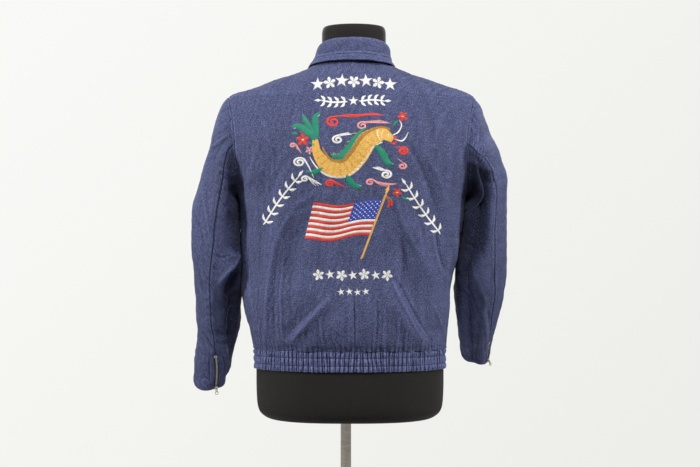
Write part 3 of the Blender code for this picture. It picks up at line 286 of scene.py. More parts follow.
# %% [markdown]
# Now the grids themselves. The upper rows lead from the underarm's section to the shoulder and neck line
# step by step, and the armhole says how wide each may be. The back is one piece from side to side, and
# each front ends a little short of the middle, where the zip is.

# %% Grids for the back and the fronts
def upper_rows(top, ring, signs, base, face):
    """Rows that close in from the underarm's section to the shoulder and neck line."""
    goal = (np.abs(top[:, 0]) - base) / (half_width(signs, TIP_Z) - base)
    start = (np.abs(ring[:, 0]) - base) / (half_width(signs, UNDERARM_Z) - base)
    rows = []
    for rise in upper_shares():
        reach = armhole_reach(signs, UNDERARM_Z + (TIP_Z - UNDERARM_Z) * rise)
        x = (base + (reach - base) * (start + (goal - start) * rise)) * signs
        z = UNDERARM_Z + (top[:, 2] - UNDERARM_Z) * rise
        y = depth_at(x, z, face) * (1 if face == "front" else -1)
        rows.append(np.stack([x, y, z], axis=1))
    rows[-1] = top
    return np.array(rows)


def back_grid():
    left = neck_columns("left", "back")[1:]
    right = neck_columns("right", "back")[-2:0:-1]
    top = np.vstack([
        shoulder_line("left"), neckline(left, "back"), neckline(right, "back"),
        shoulder_line("right")[::-1],
    ])
    shares = np.linspace(-1, 1, len(top))
    lower = []
    for z in lower_heights():
        start, end = -side_seam["left"](z), side_seam["right"](z)
        lower.append(ring_point(start + (end - start) * (shares + 1) / 2, z))
    signs = np.where(shares < 0, -1.0, 1.0)
    upper = upper_rows(top, ring_point(shares, UNDERARM_Z), signs, 0.0, "back")
    return np.concatenate([np.array(lower), upper])


def front_grid(side):
    sign = -1.0 if side == "left" else 1.0
    inner = neckline(neck_columns(side, "front", NECK_STEPS + 1)[1:], "front")
    top = np.vstack([shoulder_line(side), inner])
    steps = np.linspace(0, 1, len(top))

    def row(z, seam):
        close = ZIP_HALF_GAP / float(torso[side](z)) / (math.pi / 2) ** (2 / SIDE_POWER)
        return ring_point(sign * (seam + (2 - close - seam) * steps), z)

    lower = [row(z, float(side_seam[side](z))) for z in lower_heights()]
    upper = upper_rows(top, row(UNDERARM_Z, 1.0), np.full(len(top), sign), ZIP_HALF_GAP, "front")
    return np.concatenate([np.array(lower), upper])


panels = {"back": back_grid(), "front_left": front_grid("left"), "front_right": front_grid("right")}
print({name: grid.shape[:2] for name, grid in panels.items()})

# %% [markdown]
# A two-piece sleeve is a bent tube. It starts on the armhole, opens out over the elbow and swings
# forward to the cuff. Each table row gives the outline's outer and inner point, how far forward the
# middle is, the half-depth, and how the section tilts and turns. The inner side is a little squarer than
# the outer one, as cloth is where it lies flat against the body.

# %% Rings for the sleeves
SLEEVE_INNER_POWER = 0.72
SLEEVE_SETTLED = 0.22
CUFF_ZIP_START = 0.868
SLEEVE_RINGS, SLEEVE_TURNS = 232, 168
SLEEVES = {
    "left": {
        "outer_x": [223, 235, 246, 255, 268, 282, 292, 293, 290, 288, 286, 294, 298],
        "outer_z": [1430, 1417, 1389, 1352, 1308, 1258, 1205, 1150, 1095, 1045, 998, 947, 903],
        "inner_x": [207.5, 213.5, 209, 205, 204, 203.2, 202.8, 202.2, 202.5, 205, 209, 220, 229],
        "inner_z": [1255, 1246, 1231, 1214, 1196, 1174, 1147, 1112, 1074, 1034, 996, 950, 918],
        "y": [0, 0, 0, 1, 2, 4, 7, 12, 22, 38, 58, 82, 103],
        "depth": [63, 65, 67, 68, 68, 67, 66, 64, 61, 57, 53, 48, 44],
        "tilt": [0, 0, 0, 0, 1, 3, 5, 8, 12, 18, 25, 32, 38],
        "twist": [0, 0, 0, 0, 0, 0, 0, -6, -13, -13, -6, 6, 10],
    },
    "right": {
        "outer_x": [228, 239, 248, 263, 279, 290, 290, 292, 293, 287, 280, 273, 270],
        "outer_z": [1430, 1416, 1392, 1357, 1320, 1277, 1222, 1165, 1108, 1052, 1005, 968, 944],
        "inner_x": [215, 221, 216.8, 212.6, 211.3, 208.3, 203.8, 197.5, 197, 202, 208, 213, 216],
        "inner_z": [1255, 1246, 1231, 1214, 1196, 1174, 1147, 1112, 1074, 1034, 1000, 972, 955],
        "y": [0, 0, 0, 1, 3, 6, 12, 26, 50, 82, 116, 145, 161],
        "depth": [63, 65, 67, 68, 68, 68, 66, 64, 60, 54, 48, 42, 38],
        "tilt": [0, 0, 0, 0, 2, 4, 8, 14, 24, 33, 37, 38, 38],
        "twist": [0, -2, -8, -20, -27, -26, -24, -24, -27, -34, -43, -51, -55],
    },
}


def armhole_loop(side):
    sign = -1 if side == "left" else 1
    turns = FULL_TURN * np.arange(SLEEVE_TURNS) / SLEEVE_TURNS
    z = (TIP_Z + UNDERARM_Z) / 2 + (TIP_Z - UNDERARM_Z) / 2 * np.cos(turns)
    x = sign * armhole[side](z)
    back = turns < math.pi
    y = np.where(back, -depth_at(x, z, "back"), depth_at(x, z, "front"))
    y[[0, SLEEVE_TURNS // 2]] = 0.0
    return np.stack([x, y, z], axis=1), turns


def sleeve_rings(side):
    """Rings of points from the armhole to the cuff, and how far along each one lies."""
    sign = -1 if side == "left" else 1
    places = np.linspace(0, 1, len(SLEEVES[side]["y"]))
    column = {name: smooth_curve(places, values) for name, values in SLEEVES[side].items()}
    loop, turns = armhole_loop(side)
    half = SLEEVE_TURNS // 2
    lean = loop[:, 0] - (loop[0, 0] + loop[half, 0]) / 2
    lean = lean - (loop[0, 0] - loop[half, 0]) / 2 * np.cos(turns)
    loop_depth = -loop[:, 1] / np.abs(loop[:, 1]).max()
    rings = [loop]
    alongs = np.linspace(0, 1, SLEEVE_RINGS)
    for along in alongs[1:]:
        row = {name: float(curve(along)) for name, curve in column.items()}
        outer = np.array([sign * row["outer_x"], row["y"], row["outer_z"]])
        inner = np.array([sign * row["inner_x"], row["y"], row["inner_z"]])
        tilt = math.radians(row["tilt"])
        backward = np.array([0.0, -math.cos(tilt), -math.sin(tilt)])
        settled = float(smoothstep(along / SLEEVE_SETTLED))
        angle = turns + math.radians(row["twist"])
        flat = 1 - settled * (1 - SLEEVE_INNER_POWER) * (np.cos(angle) < 0)
        bulge = (1 - settled) * loop_depth + settled * signed_power(np.sin(angle), flat)
        reach = signed_power(np.cos((1 - settled) * turns + settled * angle), flat)
        ring = (outer + inner) / 2 + np.outer(reach, (outer - inner) / 2)
        ring = ring + np.outer(bulge * row["depth"], backward)
        ring[:, 0] += (1 - settled) * lean
        rings.append(ring)
    return np.array(rings), alongs, turns


sleeves = {side: sleeve_rings(side) for side in SIDES}
print({side: rings.shape[:2] for side, (rings, _, _) in sleeves.items()})

# %% [markdown]
# Folds make the cloth. The largest ones are those of the frame: soft ridges and troughs along bent
# paths, in the jacket's own millimetres, and on a sleeve by turn and length. A fold is full along its
# middle and fades to nothing at both ends, as a real one does. A positive height lifts the cloth and a
# negative one presses it in.

# %% Large folds, as in the frame
# Each row: x and z of the start, the bend and the end, then width and height.
BACK_FOLDS = [
    (-175, 1300, -184, 1212, -184, 1128, 13, 4), (-108, 1240, -138, 1158, -150, 975, 16, 7),
    (-160, 1194, -166, 1105, -166, 1007, 13, -4), (-58, 1240, -98, 1167, -116, 1080, 22, -6),
    (-28, 1070, -78, 1018, -112, 978, 11, 5), (-56, 1066, -95, 1024, -120, 990, 12, -5),
    (90, 1235, 125, 1150, 162, 1070, 15, 5), (72, 1095, 95, 1030, 138, 978, 13, 5),
    (82, 1170, 119, 1066, 158, 988, 15, -6), (130, 1304, 160, 1194, 176, 1105, 15, -5),
    (-128, 1330, -150, 1280, -160, 1215, 14, -3),
]
FRONT_FOLDS = [
    (-150, 1240, -128, 1130, -132, 985, 16, 5), (-100, 1180, -90, 1090, -98, 990, 17, -5),
    (-56, 1110, -62, 1040, -70, 978, 12, 4), (150, 1236, 132, 1120, 138, 985, 16, 5),
    (104, 1190, 88, 1080, 94, 990, 17, -5), (52, 1090, 58, 1030, 62, 978, 12, 4),
    (168, 1310, 150, 1260, 152, 1200, 14, -4), (-166, 1305, -150, 1255, -150, 1200, 14, -4),
]
# Each row: degrees from the outer edge towards the back and the share of the length, three times over,
# then width and height.
SLEEVE_FOLDS = {
    "left": [
        (128, 0.12, 138, 0.30, 126, 0.52, 18, -10), (150, 0.44, 128, 0.56, 106, 0.66, 15, 6),
        (142, 0.58, 122, 0.72, 126, 0.88, 18, -9), (40, 0.20, 55, 0.36, 62, 0.50, 16, -4),
        (10, 0.42, 34, 0.52, 54, 0.64, 15, 4), (18, 0.60, 45, 0.70, 72, 0.76, 15, -4),
        (-40, 0.28, -55, 0.45, -80, 0.60, 18, -6), (-100, 0.54, -70, 0.66, -30, 0.74, 17, 6),
    ],
    "right": [
        (124, 0.12, 124, 0.32, 118, 0.58, 19, -11), (92, 0.03, 80, 0.15, 72, 0.30, 14, 5),
        (70, 0.12, 48, 0.19, 18, 0.26, 15, -5), (154, 0.50, 120, 0.66, 106, 0.86, 17, 7),
        (130, 0.64, 98, 0.76, 84, 0.92, 16, -6), (-46, 0.32, -60, 0.48, -84, 0.62, 18, -6),
        (-100, 0.58, -66, 0.68, -28, 0.75, 17, 6),
    ],
}
SLEEVE_LENGTH, SLEEVE_RADIUS = 540.0, 55.0
SLEEVE_SCALE = np.array([math.radians(1) * SLEEVE_RADIUS, SLEEVE_LENGTH])


print(len(BACK_FOLDS) + len(FRONT_FOLDS), "large folds on the body")

# %% [markdown]
# How far a fold lifts a point depends on the nearest place on the fold's path: the distance to it gives a
# soft bell, and the place gives the fade towards the path's ends. On the body the folds also die out at
# the zip, the armholes and the band, and on a sleeve a fold may run on round the tube.

# %% Lifting the cloth along the folds
def path_offset(points, path, width, height, fade):
    """How far a fold lifts each 2-D point: full along the middle of its path, nothing at its ends."""
    steps = np.linspace(0, 1, 17)[:, None]
    start, bend, end = path
    line = start * (1 - steps) * (1 - 2 * steps) + bend * 4 * steps * (1 - steps)
    line = line + end * steps * (2 * steps - 1)
    near = np.all((points > line.min(0) - 3.5 * width) & (points < line.max(0) + 3.5 * width), axis=1)
    lift = np.zeros(len(points))
    inside = points[near]
    best = np.full(len(inside), 1e9)
    place = np.zeros(len(inside))
    for i in range(len(line) - 1):
        run = line[i + 1] - line[i]
        t = np.clip((inside - line[i]) @ run / (run @ run), 0, 1)
        gap = np.linalg.norm(inside - line[i] - t[:, None] * run, axis=1)
        place = np.where(gap < best, (i + t) / (len(line) - 1), place)
        best = np.minimum(best, gap)
    lift[near] = height * np.sin(math.pi * np.clip(place, 0, 1)) ** fade * bell(best, width)
    return lift


def lifts(points, rows, scale=1.0, fade=0.7):
    """All of a table's folds at 2-D points, with the table's places times the scale."""
    total = np.zeros(len(points))
    for row in rows:
        total += path_offset(points, np.reshape(row[:6], (3, 2)) * scale, row[6], row[7], fade)
    return total


def room_beside_armhole(points):
    """How far each point of the body lies from the armhole's line."""
    return armhole_reach(points[:, 0], points[:, 2]) - np.abs(points[:, 0])


def body_folds(points):
    """The frame's folds on the torso, faded at the sides, the shoulder line and the waistband."""
    lift = np.zeros(len(points))
    for face, folds in ((-1, BACK_FOLDS), (1, FRONT_FOLDS)):
        lift += smoothstep((face * points[:, 1] - 12) / 30) * lifts(points[:, [0, 2]], folds)
    near_zip = smoothstep((np.abs(points[:, 0]) - 8) / 25)
    lift *= np.where(points[:, 1] > 0, near_zip, 1.0)
    upper = smoothstep((points[:, 2] - UNDERARM_Z + 40) / 40)
    lift *= 1 - upper * (1 - smoothstep(room_beside_armhole(points) / 20))
    return lift * smoothstep((points[:, 2] - BAND_TOP_Z) / 14)


def round_sleeve(turns, alongs, rows, laps):
    """Folds at points given by turn in degrees and share of the length, on the laps that they may cross."""
    flats = [np.stack([turns + lap, alongs], axis=1) * SLEEVE_SCALE for lap in laps]
    return sum(lifts(flat, rows, SLEEVE_SCALE) for flat in flats)


def sleeve_folds(side, turns, alongs):
    """The frame's folds on a sleeve."""
    lift = round_sleeve(turns, alongs, SLEEVE_FOLDS[side], (-360, 0, 360))
    inner = smoothstep((np.abs(turns - 180) - 8) / 36) + smoothstep((alongs - 0.62) / 0.12)
    return lift * smoothstep(alongs / 0.08) * np.minimum(inner, 1.0)


print("folds on the sleeves", {side: len(rows) for side, rows in SLEEVE_FOLDS.items()})

# %% [markdown]
# The finer creases are placed over the photograph, so their paths are pixels, and their width and
# height are millimetres. On the back, long soft lines run down from the shoulder blades and draw together
# at the waistband. On the sleeves, short ones cross the elbow and fan out of the armhole. The eye reads
# cloth from a few firm lines among many faint ones, so the heights differ a lot.

# %% Fine creases, placed over the photograph
# Each row: the start, the bend and the end in pixels, then width and height in millimetres.
BACK_CREASES = [
    (297, 205, 281, 232, 273, 262, 4.0, 1.8), (276, 250, 269, 290, 266, 348, 3.2, 2.4),
    (285, 245, 281, 300, 284, 346, 2.2, 1.5), (277, 262, 274, 300, 275, 346, 4.5, -1.8),
    (293, 262, 290, 300, 296, 340, 5.0, -1.3), (330, 298, 312, 318, 290, 343, 4.0, 1.6),
    (322, 300, 304, 318, 287, 335, 5.0, -1.8), (320, 318, 321, 330, 324, 348, 1.5, 1.2),
    (333, 338, 337, 345, 340, 353, 1.2, 1.6), (354, 294, 355, 320, 355, 349, 1.6, -1.7),
    (350, 300, 350, 322, 349, 350, 3.0, 0.8), (377, 300, 378, 322, 376, 349, 2.2, -1.0),
    (384, 305, 385, 325, 383, 350, 2.6, 0.8), (397, 312, 399, 330, 397, 349, 2.0, 0.9),
    (393, 280, 404, 306, 424, 342, 3.4, 2.0), (400, 283, 413, 308, 433, 343, 4.2, -2.6),
    (400, 238, 405, 264, 398, 292, 5.0, -1.6), (407, 327, 406, 338, 405, 350, 1.4, 1.0),
    (439, 220, 440, 248, 450, 276, 5.5, -3.4), (436, 215, 436, 245, 444, 275, 4.0, 1.2),
    (455, 222, 456, 246, 457, 268, 4.0, 1.6), (414, 200, 423, 232, 425, 262, 4.5, -1.2),
    (395, 192, 406, 228, 421, 256, 4.5, 1.5), (405, 137, 424, 172, 441, 218, 6.0, -1.8),
    (415, 140, 435, 170, 447, 205, 5.0, 0.9), (297, 150, 279, 172, 266, 206, 6.0, -1.5),
    (260, 135, 251, 172, 245, 204, 5.0, 1.4), (249, 205, 247, 240, 252, 280, 4.0, -1.5),
    (258, 208, 256, 250, 262, 300, 4.0, 1.0), (290, 206, 303, 200, 318, 190, 3.5, 1.0),
    (288, 214, 300, 209, 314, 202, 3.5, -0.9), (300, 96, 290, 120, 284, 150, 7.0, -0.8),
    (250, 104, 262, 118, 268, 140, 5.0, 0.7), (452, 106, 440, 124, 436, 150, 5.0, 0.8),
    (430, 300, 440, 318, 446, 340, 3.0, 1.1), (300, 226, 312, 262, 308, 300, 6.0, 0.8),
    (336, 262, 330, 282, 322, 300, 5.0, -0.8), (262, 318, 262, 332, 263, 350, 2.0, -1.2),
]
SLEEVE_CREASES = {
    "left": [
        (232, 132, 222, 140, 212, 147, 2.6, 2.6), (229, 119, 224, 122, 219, 127, 1.8, -1.2),
        (230, 108, 226, 109, 222, 113, 1.6, -1.1), (231, 125, 226, 130, 220, 134, 2.2, -1.2),
        (228, 138, 219, 149, 213, 160, 3.6, -2.2), (214, 154, 213, 176, 209, 200, 4.2, -2.4),
        (207, 160, 203, 186, 199, 206, 4.0, 1.6), (220, 172, 224, 176, 229, 182, 1.8, -1.6),
        (218, 168, 226, 170, 232, 172, 2.6, 1.2), (202, 185, 205, 208, 212, 244, 3.0, 2.2),
        (194, 210, 200, 228, 206, 250, 3.4, -2.4), (218, 196, 224, 204, 231, 209, 3.2, -1.4),
        (239, 208, 233, 232, 240, 256, 6.0, -7.0), (241, 252, 231, 267, 219, 285, 4.2, 6.5),
        (243, 263, 236, 278, 226, 296, 8.0, -15.0), (214, 253, 222, 257, 230, 254, 2.2, -1.2),
        (213, 266, 217, 269, 221, 266, 1.8, -1.2), (198, 262, 202, 282, 206, 296, 3.4, -1.4),
        (202, 297, 207, 300, 213, 296, 2.6, -1.3), (203, 318, 209, 315, 216, 318, 2.8, -1.5),
        (238, 305, 232, 316, 227, 332, 3.2, 2.0), (216, 330, 225, 337, 237, 335, 4.6, -2.8),
        (198, 330, 201, 341, 206, 353, 2.8, 3.2), (203, 330, 208, 340, 214, 350, 3.2, -2.8),
        (218, 341, 226, 345, 234, 344, 3.0, -2.2), (210, 356, 210, 370, 211, 386, 1.6, -1.8),
        (199, 382, 204, 378, 210, 380, 1.4, -2.2), (198, 376, 204, 373, 210, 375, 2.0, 1.3),
        (222, 356, 225, 364, 224, 374, 2.2, -1.4), (228, 350, 230, 360, 228, 370, 2.2, 1.2),
    ],
    "right": [
        (470, 112, 476, 118, 482, 128, 2.2, -1.4), (469, 122, 474, 130, 482, 140, 2.2, 1.3),
        (466, 141, 480, 156, 496, 174, 4.5, 4.0), (466, 163, 480, 172, 495, 184, 6.0, -7.0),
        (490, 168, 492, 200, 490, 240, 3.2, 1.4), (500, 190, 497, 220, 500, 252, 3.6, -1.2),
        (458, 278, 468, 306, 480, 336, 2.4, 2.2), (463, 276, 474, 300, 484, 322, 3.0, -2.0),
        (470, 262, 480, 286, 488, 306, 2.8, 1.4), (458, 300, 464, 322, 474, 342, 2.6, -1.8),
        (486, 300, 490, 318, 492, 334, 2.4, -1.3), (494, 250, 496, 276, 493, 304, 3.4, 1.3),
        (463, 240, 472, 248, 484, 250, 3.4, -1.8), (460, 322, 468, 330, 480, 332, 2.4, -1.6),
        (468, 342, 476, 346, 486, 344, 2.2, -1.4), (484, 326, 486, 340, 485, 354, 1.6, -1.4),
    ],
}


def creases(points, normals, rows):
    """Fine creases laid over the picture, on the cloth that faces the camera."""
    facing = smoothstep((-normals[:, 1] - 0.02) / 0.3)
    return lifts(in_picture(points) * PIXEL, rows, PIXEL, fade=0.6) * facing


print(len(BACK_CREASES), "fine creases on the back,",
      sum(len(rows) for rows in SLEEVE_CREASES.values()), "on the sleeves")

# %% [markdown]
# Now the cloth becomes solid-looking. Every grid point moves along the cloth's normal by the height of
# its creases. Normals at a seam are shared, so the two pieces stay together there. Close to a seam the
# cloth sinks into the stitching and stands up beside it, where the allowances lie under it, and it
# puckers a little, because thread shrinks and cloth doesn't. Distances to the seams are measured along
# the cloth.

# %% Normals, distances and seam relief
def face_normals(grid):
    return unit(np.cross(np.gradient(grid, axis=1), np.gradient(grid, axis=0)))


def grid_normals(grid, inside):
    """Normals of a grid of points, away from the points in inside."""
    normals = face_normals(grid)
    outward = np.sum(normals * (grid - inside), axis=-1)
    return normals if np.median(outward) > 0 else -normals


def runs(grid):
    """Distances along the cloth from the first row and from the first column, in millimetres."""
    down = np.linalg.norm(np.diff(grid, axis=0), axis=2)
    across = np.linalg.norm(np.diff(grid, axis=1), axis=2)
    from_row = np.vstack([np.zeros(grid.shape[1]), np.cumsum(down, axis=0)])
    from_column = np.hstack([np.zeros((grid.shape[0], 1)), np.cumsum(across, axis=1)])
    return from_row, from_column


def seam_relief(distance, along, seed, pucker, depth=0.45, reach=7.0):
    """The lift beside a seam, from the distance to it and the place along it."""
    groove = -depth * bell(distance, 1.1)
    ridge = 0.45 * bell(distance - 3.4, 2.2)
    wander = ripple(along, 0, 40.0, seed=seed)
    strength = 0.6 + 0.5 * ripple(along, 0, 55.0, seed=seed + 1)
    wave = np.sin(FULL_TURN * along / 9.0 + 2.2 * wander)
    return groove + ridge + pucker * strength * wave * bell(distance, reach) * smoothstep(distance / 1.5)


def rubbed(distance, along, seed):
    """How pale a seam's edge is rubbed, in broken patches along it."""
    patches = 0.55 + 0.45 * ripple(along, 0, 16.0, seed=seed)
    return np.clip(patches, 0, 1.2) * bell(distance - 2.2, 1.5)


def relief_of_ripples(points):
    """The faint unevenness of soft cloth, the same for neighbours at a seam."""
    x, y, z = points.T
    broad = ripple(x + y, z, 46.0, stretch=1.9, seed=31)
    small = ripple(x - 0.6 * y, z, 15.0, stretch=1.5, seed=32)
    return 0.85 * broad + 0.26 * small


inside_body = {}
for name, grid in panels.items():
    inside_body[name] = grid * [0.4, 0.0, 1.0]
    inside_body[name][..., 2] = np.minimum(grid[..., 2], UNDERARM_Z)
body_normals = {name: grid_normals(grid, inside_body[name]) for name, grid in panels.items()}


def join_normals(normals):
    """Gives the back and the fronts one normal along the side and shoulder seams."""
    back, left, right = normals["back"], normals["front_left"], normals["front_right"]
    low, step = LOWER_ROWS + 1, SHOULDER_STEPS + 1
    seams = (
        (back[:low, 0], left[:low, 0]), (back[:low, -1], right[:low, 0]),
        (back[-1, :step], left[-1, :step]), (back[-1, ::-1][:step], right[-1, :step]),
    )
    for here, there in seams:
        joint = unit(here + there)
        here[:], there[:] = joint, joint


join_normals(body_normals)
print("body normals ready")

# %% [markdown]
# An elastic waistband is a tube of cloth drawn together by three rows of elastic. The cloth between the
# stitch rows stands up in uneven gathers, and the panels sewn to it start with the same gathers and lose
# them upwards. So one function makes the gathers for both, from the place round the body. It is the
# gathers' wandering and leaning that keeps them from looking like a machined rack.

# %% Gathers, shared by the waistband and the panels
BACK_GATHERS, FRONT_GATHERS = 46, 14
FRONT_TAB = 58.0
HIP_SIDE, HIP_DEPTH = 173.0, 104.0


def tab_share(half_gap):
    return 2 - half_gap / HIP_SIDE / (math.pi / 2) ** (2 / SIDE_POWER)


LEFT_SEAM, RIGHT_SEAM = -float(side_seam["left"](HEM_Z)), float(side_seam["right"](HEM_Z))


def gathers(share, z):
    """The gathers' height from 0 to 1, at a share round the body and a height."""
    back_turns = (share - LEFT_SEAM) / (RIGHT_SEAM - LEFT_SEAM) * BACK_GATHERS
    left_turns = (share - LEFT_SEAM) / (tab_share(FRONT_TAB) + LEFT_SEAM) * FRONT_GATHERS
    right_turns = (share - RIGHT_SEAM) / (tab_share(FRONT_TAB) - RIGHT_SEAM) * FRONT_GATHERS
    turns = np.where(share < LEFT_SEAM, left_turns, np.where(share > RIGHT_SEAM, right_turns, back_turns))
    place = share * HIP_SIDE
    wander = 0.20 * ripple(place, 0, 30.0, seed=51)
    lean = 0.22 * ripple(place, 0, 60.0, seed=54) * (z - 950) / 20
    shift = 0.10 * ripple(place, z, 26.0, stretch=1.2, seed=55)
    wave = 0.5 - 0.5 * np.cos(FULL_TURN * (turns + wander + lean + shift))
    fine = 0.5 - 0.5 * np.cos(FULL_TURN * (2.17 * turns + 1.6 * wander + 1.5 * lean))
    strength = 0.80 + 0.30 * ripple(place, z, 15.0, stretch=1.6, seed=52)
    flat_tab = smoothstep((tab_share(FRONT_TAB) + 0.01 - np.abs(share)) / 0.03)
    return np.clip((0.78 * wave**1.6 + 0.34 * fine**2) * strength, 0, 1.3) * flat_tab


def share_of(name, grid):
    """Each panel point's share round the body, at its lower edge."""
    t = np.linspace(0, 1, grid.shape[1])[None, :]
    z = np.clip(grid[:, :1, 2], BAND_TOP_Z, UNDERARM_Z)
    left, right = -side_seam["left"](z), side_seam["right"](z)
    if name == "back":
        return left + (right - left) * t
    seam = left if name == "front_left" else right
    end = tab_share(ZIP_HALF_GAP)
    return seam + (np.sign(seam) * end - seam) * t


def hem_gathers(name, grid):
    """How far the band's gathers lift the cloth above it."""
    share = share_of(name, grid)
    rise = grid[..., 2] - BAND_TOP_Z
    reach = np.clip(9.0 + 8.0 * ripple(share * HIP_SIDE, 0, 13.0, seed=53), 3, 30)
    fade = np.exp(-np.maximum(rise, 0) / reach) * (rise < 90)
    return (gathers(share, BAND_TOP_Z + rise * 0.12) - 0.3) * 3.0 * fade


print("gathers:", BACK_GATHERS, "behind and", 2 * FRONT_GATHERS, "in front")

# %% [markdown]
# The front doesn't show in the photograph, so its creases are made up in the same hand as the back's:
# long soft ones towards the waistband and a few from the underarm. The sleeves' hidden sides get theirs
# by turn and length, as the large folds do. Then all lifts are added and the panels take their shape.

# %% Creases of the sides that the photograph hides
# Each row: x and z of the start, the bend and the end, then width and height, in millimetres.
FRONT_CREASES = [
    (-168, 1230, -150, 1170, -140, 1100, 6, 2.0), (-150, 1215, -138, 1160, -130, 1110, 5, -1.6),
    (-60, 1060, -72, 1020, -80, 974, 4, 1.7), (-118, 1050, -116, 1010, -122, 972, 4, -1.8),
    (-146, 1060, -142, 1010, -148, 972, 3, 1.6), (-88, 1040, -86, 1005, -92, 972, 3, 1.2),
    (-40, 1040, -42, 1010, -44, 972, 3, -1.0), (-50, 1300, -58, 1220, -56, 1140, 9, 1.0),
    (-120, 1370, -104, 1330, -96, 1280, 8, -1.0), (170, 1226, 150, 1160, 142, 1090, 6, 2.0),
    (150, 1220, 136, 1150, 128, 1100, 5, -1.6), (58, 1070, 70, 1030, 76, 974, 4, 1.7),
    (116, 1040, 112, 1010, 118, 972, 4, -1.8), (148, 1050, 144, 1010, 150, 972, 3, 1.6),
    (92, 1030, 86, 1000, 92, 972, 3, 1.2), (36, 1030, 40, 1000, 38, 972, 3, -1.0),
    (48, 1290, 60, 1230, 52, 1150, 9, 1.0), (118, 1366, 100, 1320, 98, 1270, 8, -1.0),
]
# Each row as for the sleeves' large folds.
HIDDEN_SLEEVE_CREASES = [
    (-20, 0.10, -34, 0.22, -60, 0.34, 9, -2.0), (-60, 0.06, -66, 0.20, -84, 0.36, 8, 1.8),
    (-84, 0.44, -60, 0.50, -24, 0.52, 8, -3.0), (-104, 0.50, -72, 0.57, -36, 0.58, 6, 2.2),
    (-112, 0.60, -84, 0.63, -50, 0.66, 6, -2.6), (-128, 0.66, -96, 0.70, -66, 0.76, 6, 2.4),
    (-70, 0.78, -52, 0.82, -30, 0.84, 5, -1.8), (-120, 0.84, -90, 0.87, -60, 0.86, 5, -1.6),
    (-24, 0.88, -10, 0.91, 12, 0.90, 4, -1.4), (-150, 0.30, -140, 0.42, -120, 0.50, 8, 1.8),
    (-150, 0.90, -120, 0.94, -96, 0.97, 4, -1.2),
]


def front_creases(points):
    near_zip = smoothstep((np.abs(points[:, 0]) - 8) / 25)
    return lifts(points[:, [0, 2]], FRONT_CREASES) * smoothstep((points[:, 1] - 12) / 30) * near_zip


def quiet_at_edges(points):
    """Fine creases die out at the shoulder line and the armhole, where a seam holds the cloth."""
    upper = smoothstep((points[:, 2] - UNDERARM_Z + 30) / 30)
    return 1 - upper * (1 - smoothstep((room_beside_armhole(points) - 1) / 9))


bodies = {}
for name, grid in panels.items():
    points = grid.reshape(-1, 3)
    normals = body_normals[name].reshape(-1, 3)
    fine = 1.25 * creases(points, normals, BACK_CREASES) + front_creases(points)
    fine = (fine + relief_of_ripples(points)) * quiet_at_edges(points)
    lift = body_folds(points) + fine
    lift = lift.reshape(grid.shape[:2]) + hem_gathers(name, grid)
    bodies[name] = grid + body_normals[name] * lift[..., None]
print({name: f"{np.ptp(grid[..., 1]):.0f} mm deep" for name, grid in bodies.items()})

# %% [markdown]
# Each panel ends in a turned edge: the cloth rolls over by its own thickness and runs a few millimetres
# back inside. Two turned edges side by side look like a sewn seam from any distance, and an open edge
# looks like a hem and not like paper. Another helper finds where the cloth bulges out and where it is
# creased, because ridges are painted pale and creases dark: partly as rubbing and kept dye, and partly as
# painted highlight and painted shade.

# %% Turned edges and ridges
# How far each step of a turned edge lies outward from the rim and down under it.
TURN = [(0.35, 0.45), (0.15, 1.25), (-0.9, 1.7), (-5.0, 1.9)]


def turned(grid, normals, marks):
    """The grid with its four edges rolled under. Marks are arrays that go with the points."""
    for axis, last in ((0, False), (0, True), (1, False), (1, True)):
        end, beside = (-1, -2) if last else (0, 1)
        rim = np.take(grid, end, axis=axis)
        outward = unit(rim - np.take(grid, beside, axis=axis))
        facing = np.take(normals, end, axis=axis)
        extra = [rim + outward * out - facing * down for out, down in TURN]
        extra = np.stack(extra if last else extra[::-1], axis=axis)
        grid = np.concatenate((grid, extra) if last else (extra, grid), axis=axis)

        def repeat(values):
            copies = np.repeat(np.expand_dims(np.take(values, end, axis=axis), axis), len(TURN), axis)
            return np.concatenate((values, copies) if last else (copies, values), axis=axis)

        normals = repeat(normals)
        marks = {key: repeat(values) for key, values in marks.items()}
    return grid, normals, marks


def ridges(grid, normals, spread=2):
    """How sharply the cloth bulges out at each point, from -1 in a crease to 1 on a ridge."""
    sharp = np.zeros(grid.shape[:2])
    for axis in (0, 1):
        ahead = np.roll(grid, -spread, axis=axis)
        behind = np.roll(grid, spread, axis=axis)
        span = np.linalg.norm(ahead - behind, axis=2) / 2
        bend = np.sum((2 * grid - ahead - behind) * normals, axis=2) / np.maximum(span, 0.8) ** 2
        border = np.moveaxis(bend, axis, 0)
        border[:spread], border[-spread:] = 0, 0
        sharp += bend
    return np.clip(sharp / 0.16, -1, 1)


def grid_faces(rows, columns, closed=False):
    i, j = np.meshgrid(np.arange(rows - 1), np.arange(columns if closed else columns - 1), indexing="ij")
    k = (j + 1) % columns
    return np.stack([i * columns + j, i * columns + k, (i + 1) * columns + k, (i + 1) * columns + j], -1)


def looks_inward(grid, normals):
    """Whether the faces of a grid look inward, judged in its middle."""
    i, j = grid.shape[0] // 2, grid.shape[1] // 2
    turn = np.cross(grid[i, j + 1] - grid[i, j], grid[i + 1, j] - grid[i, j])
    return turn @ normals[i, j] < 0


print("edge helpers ready")
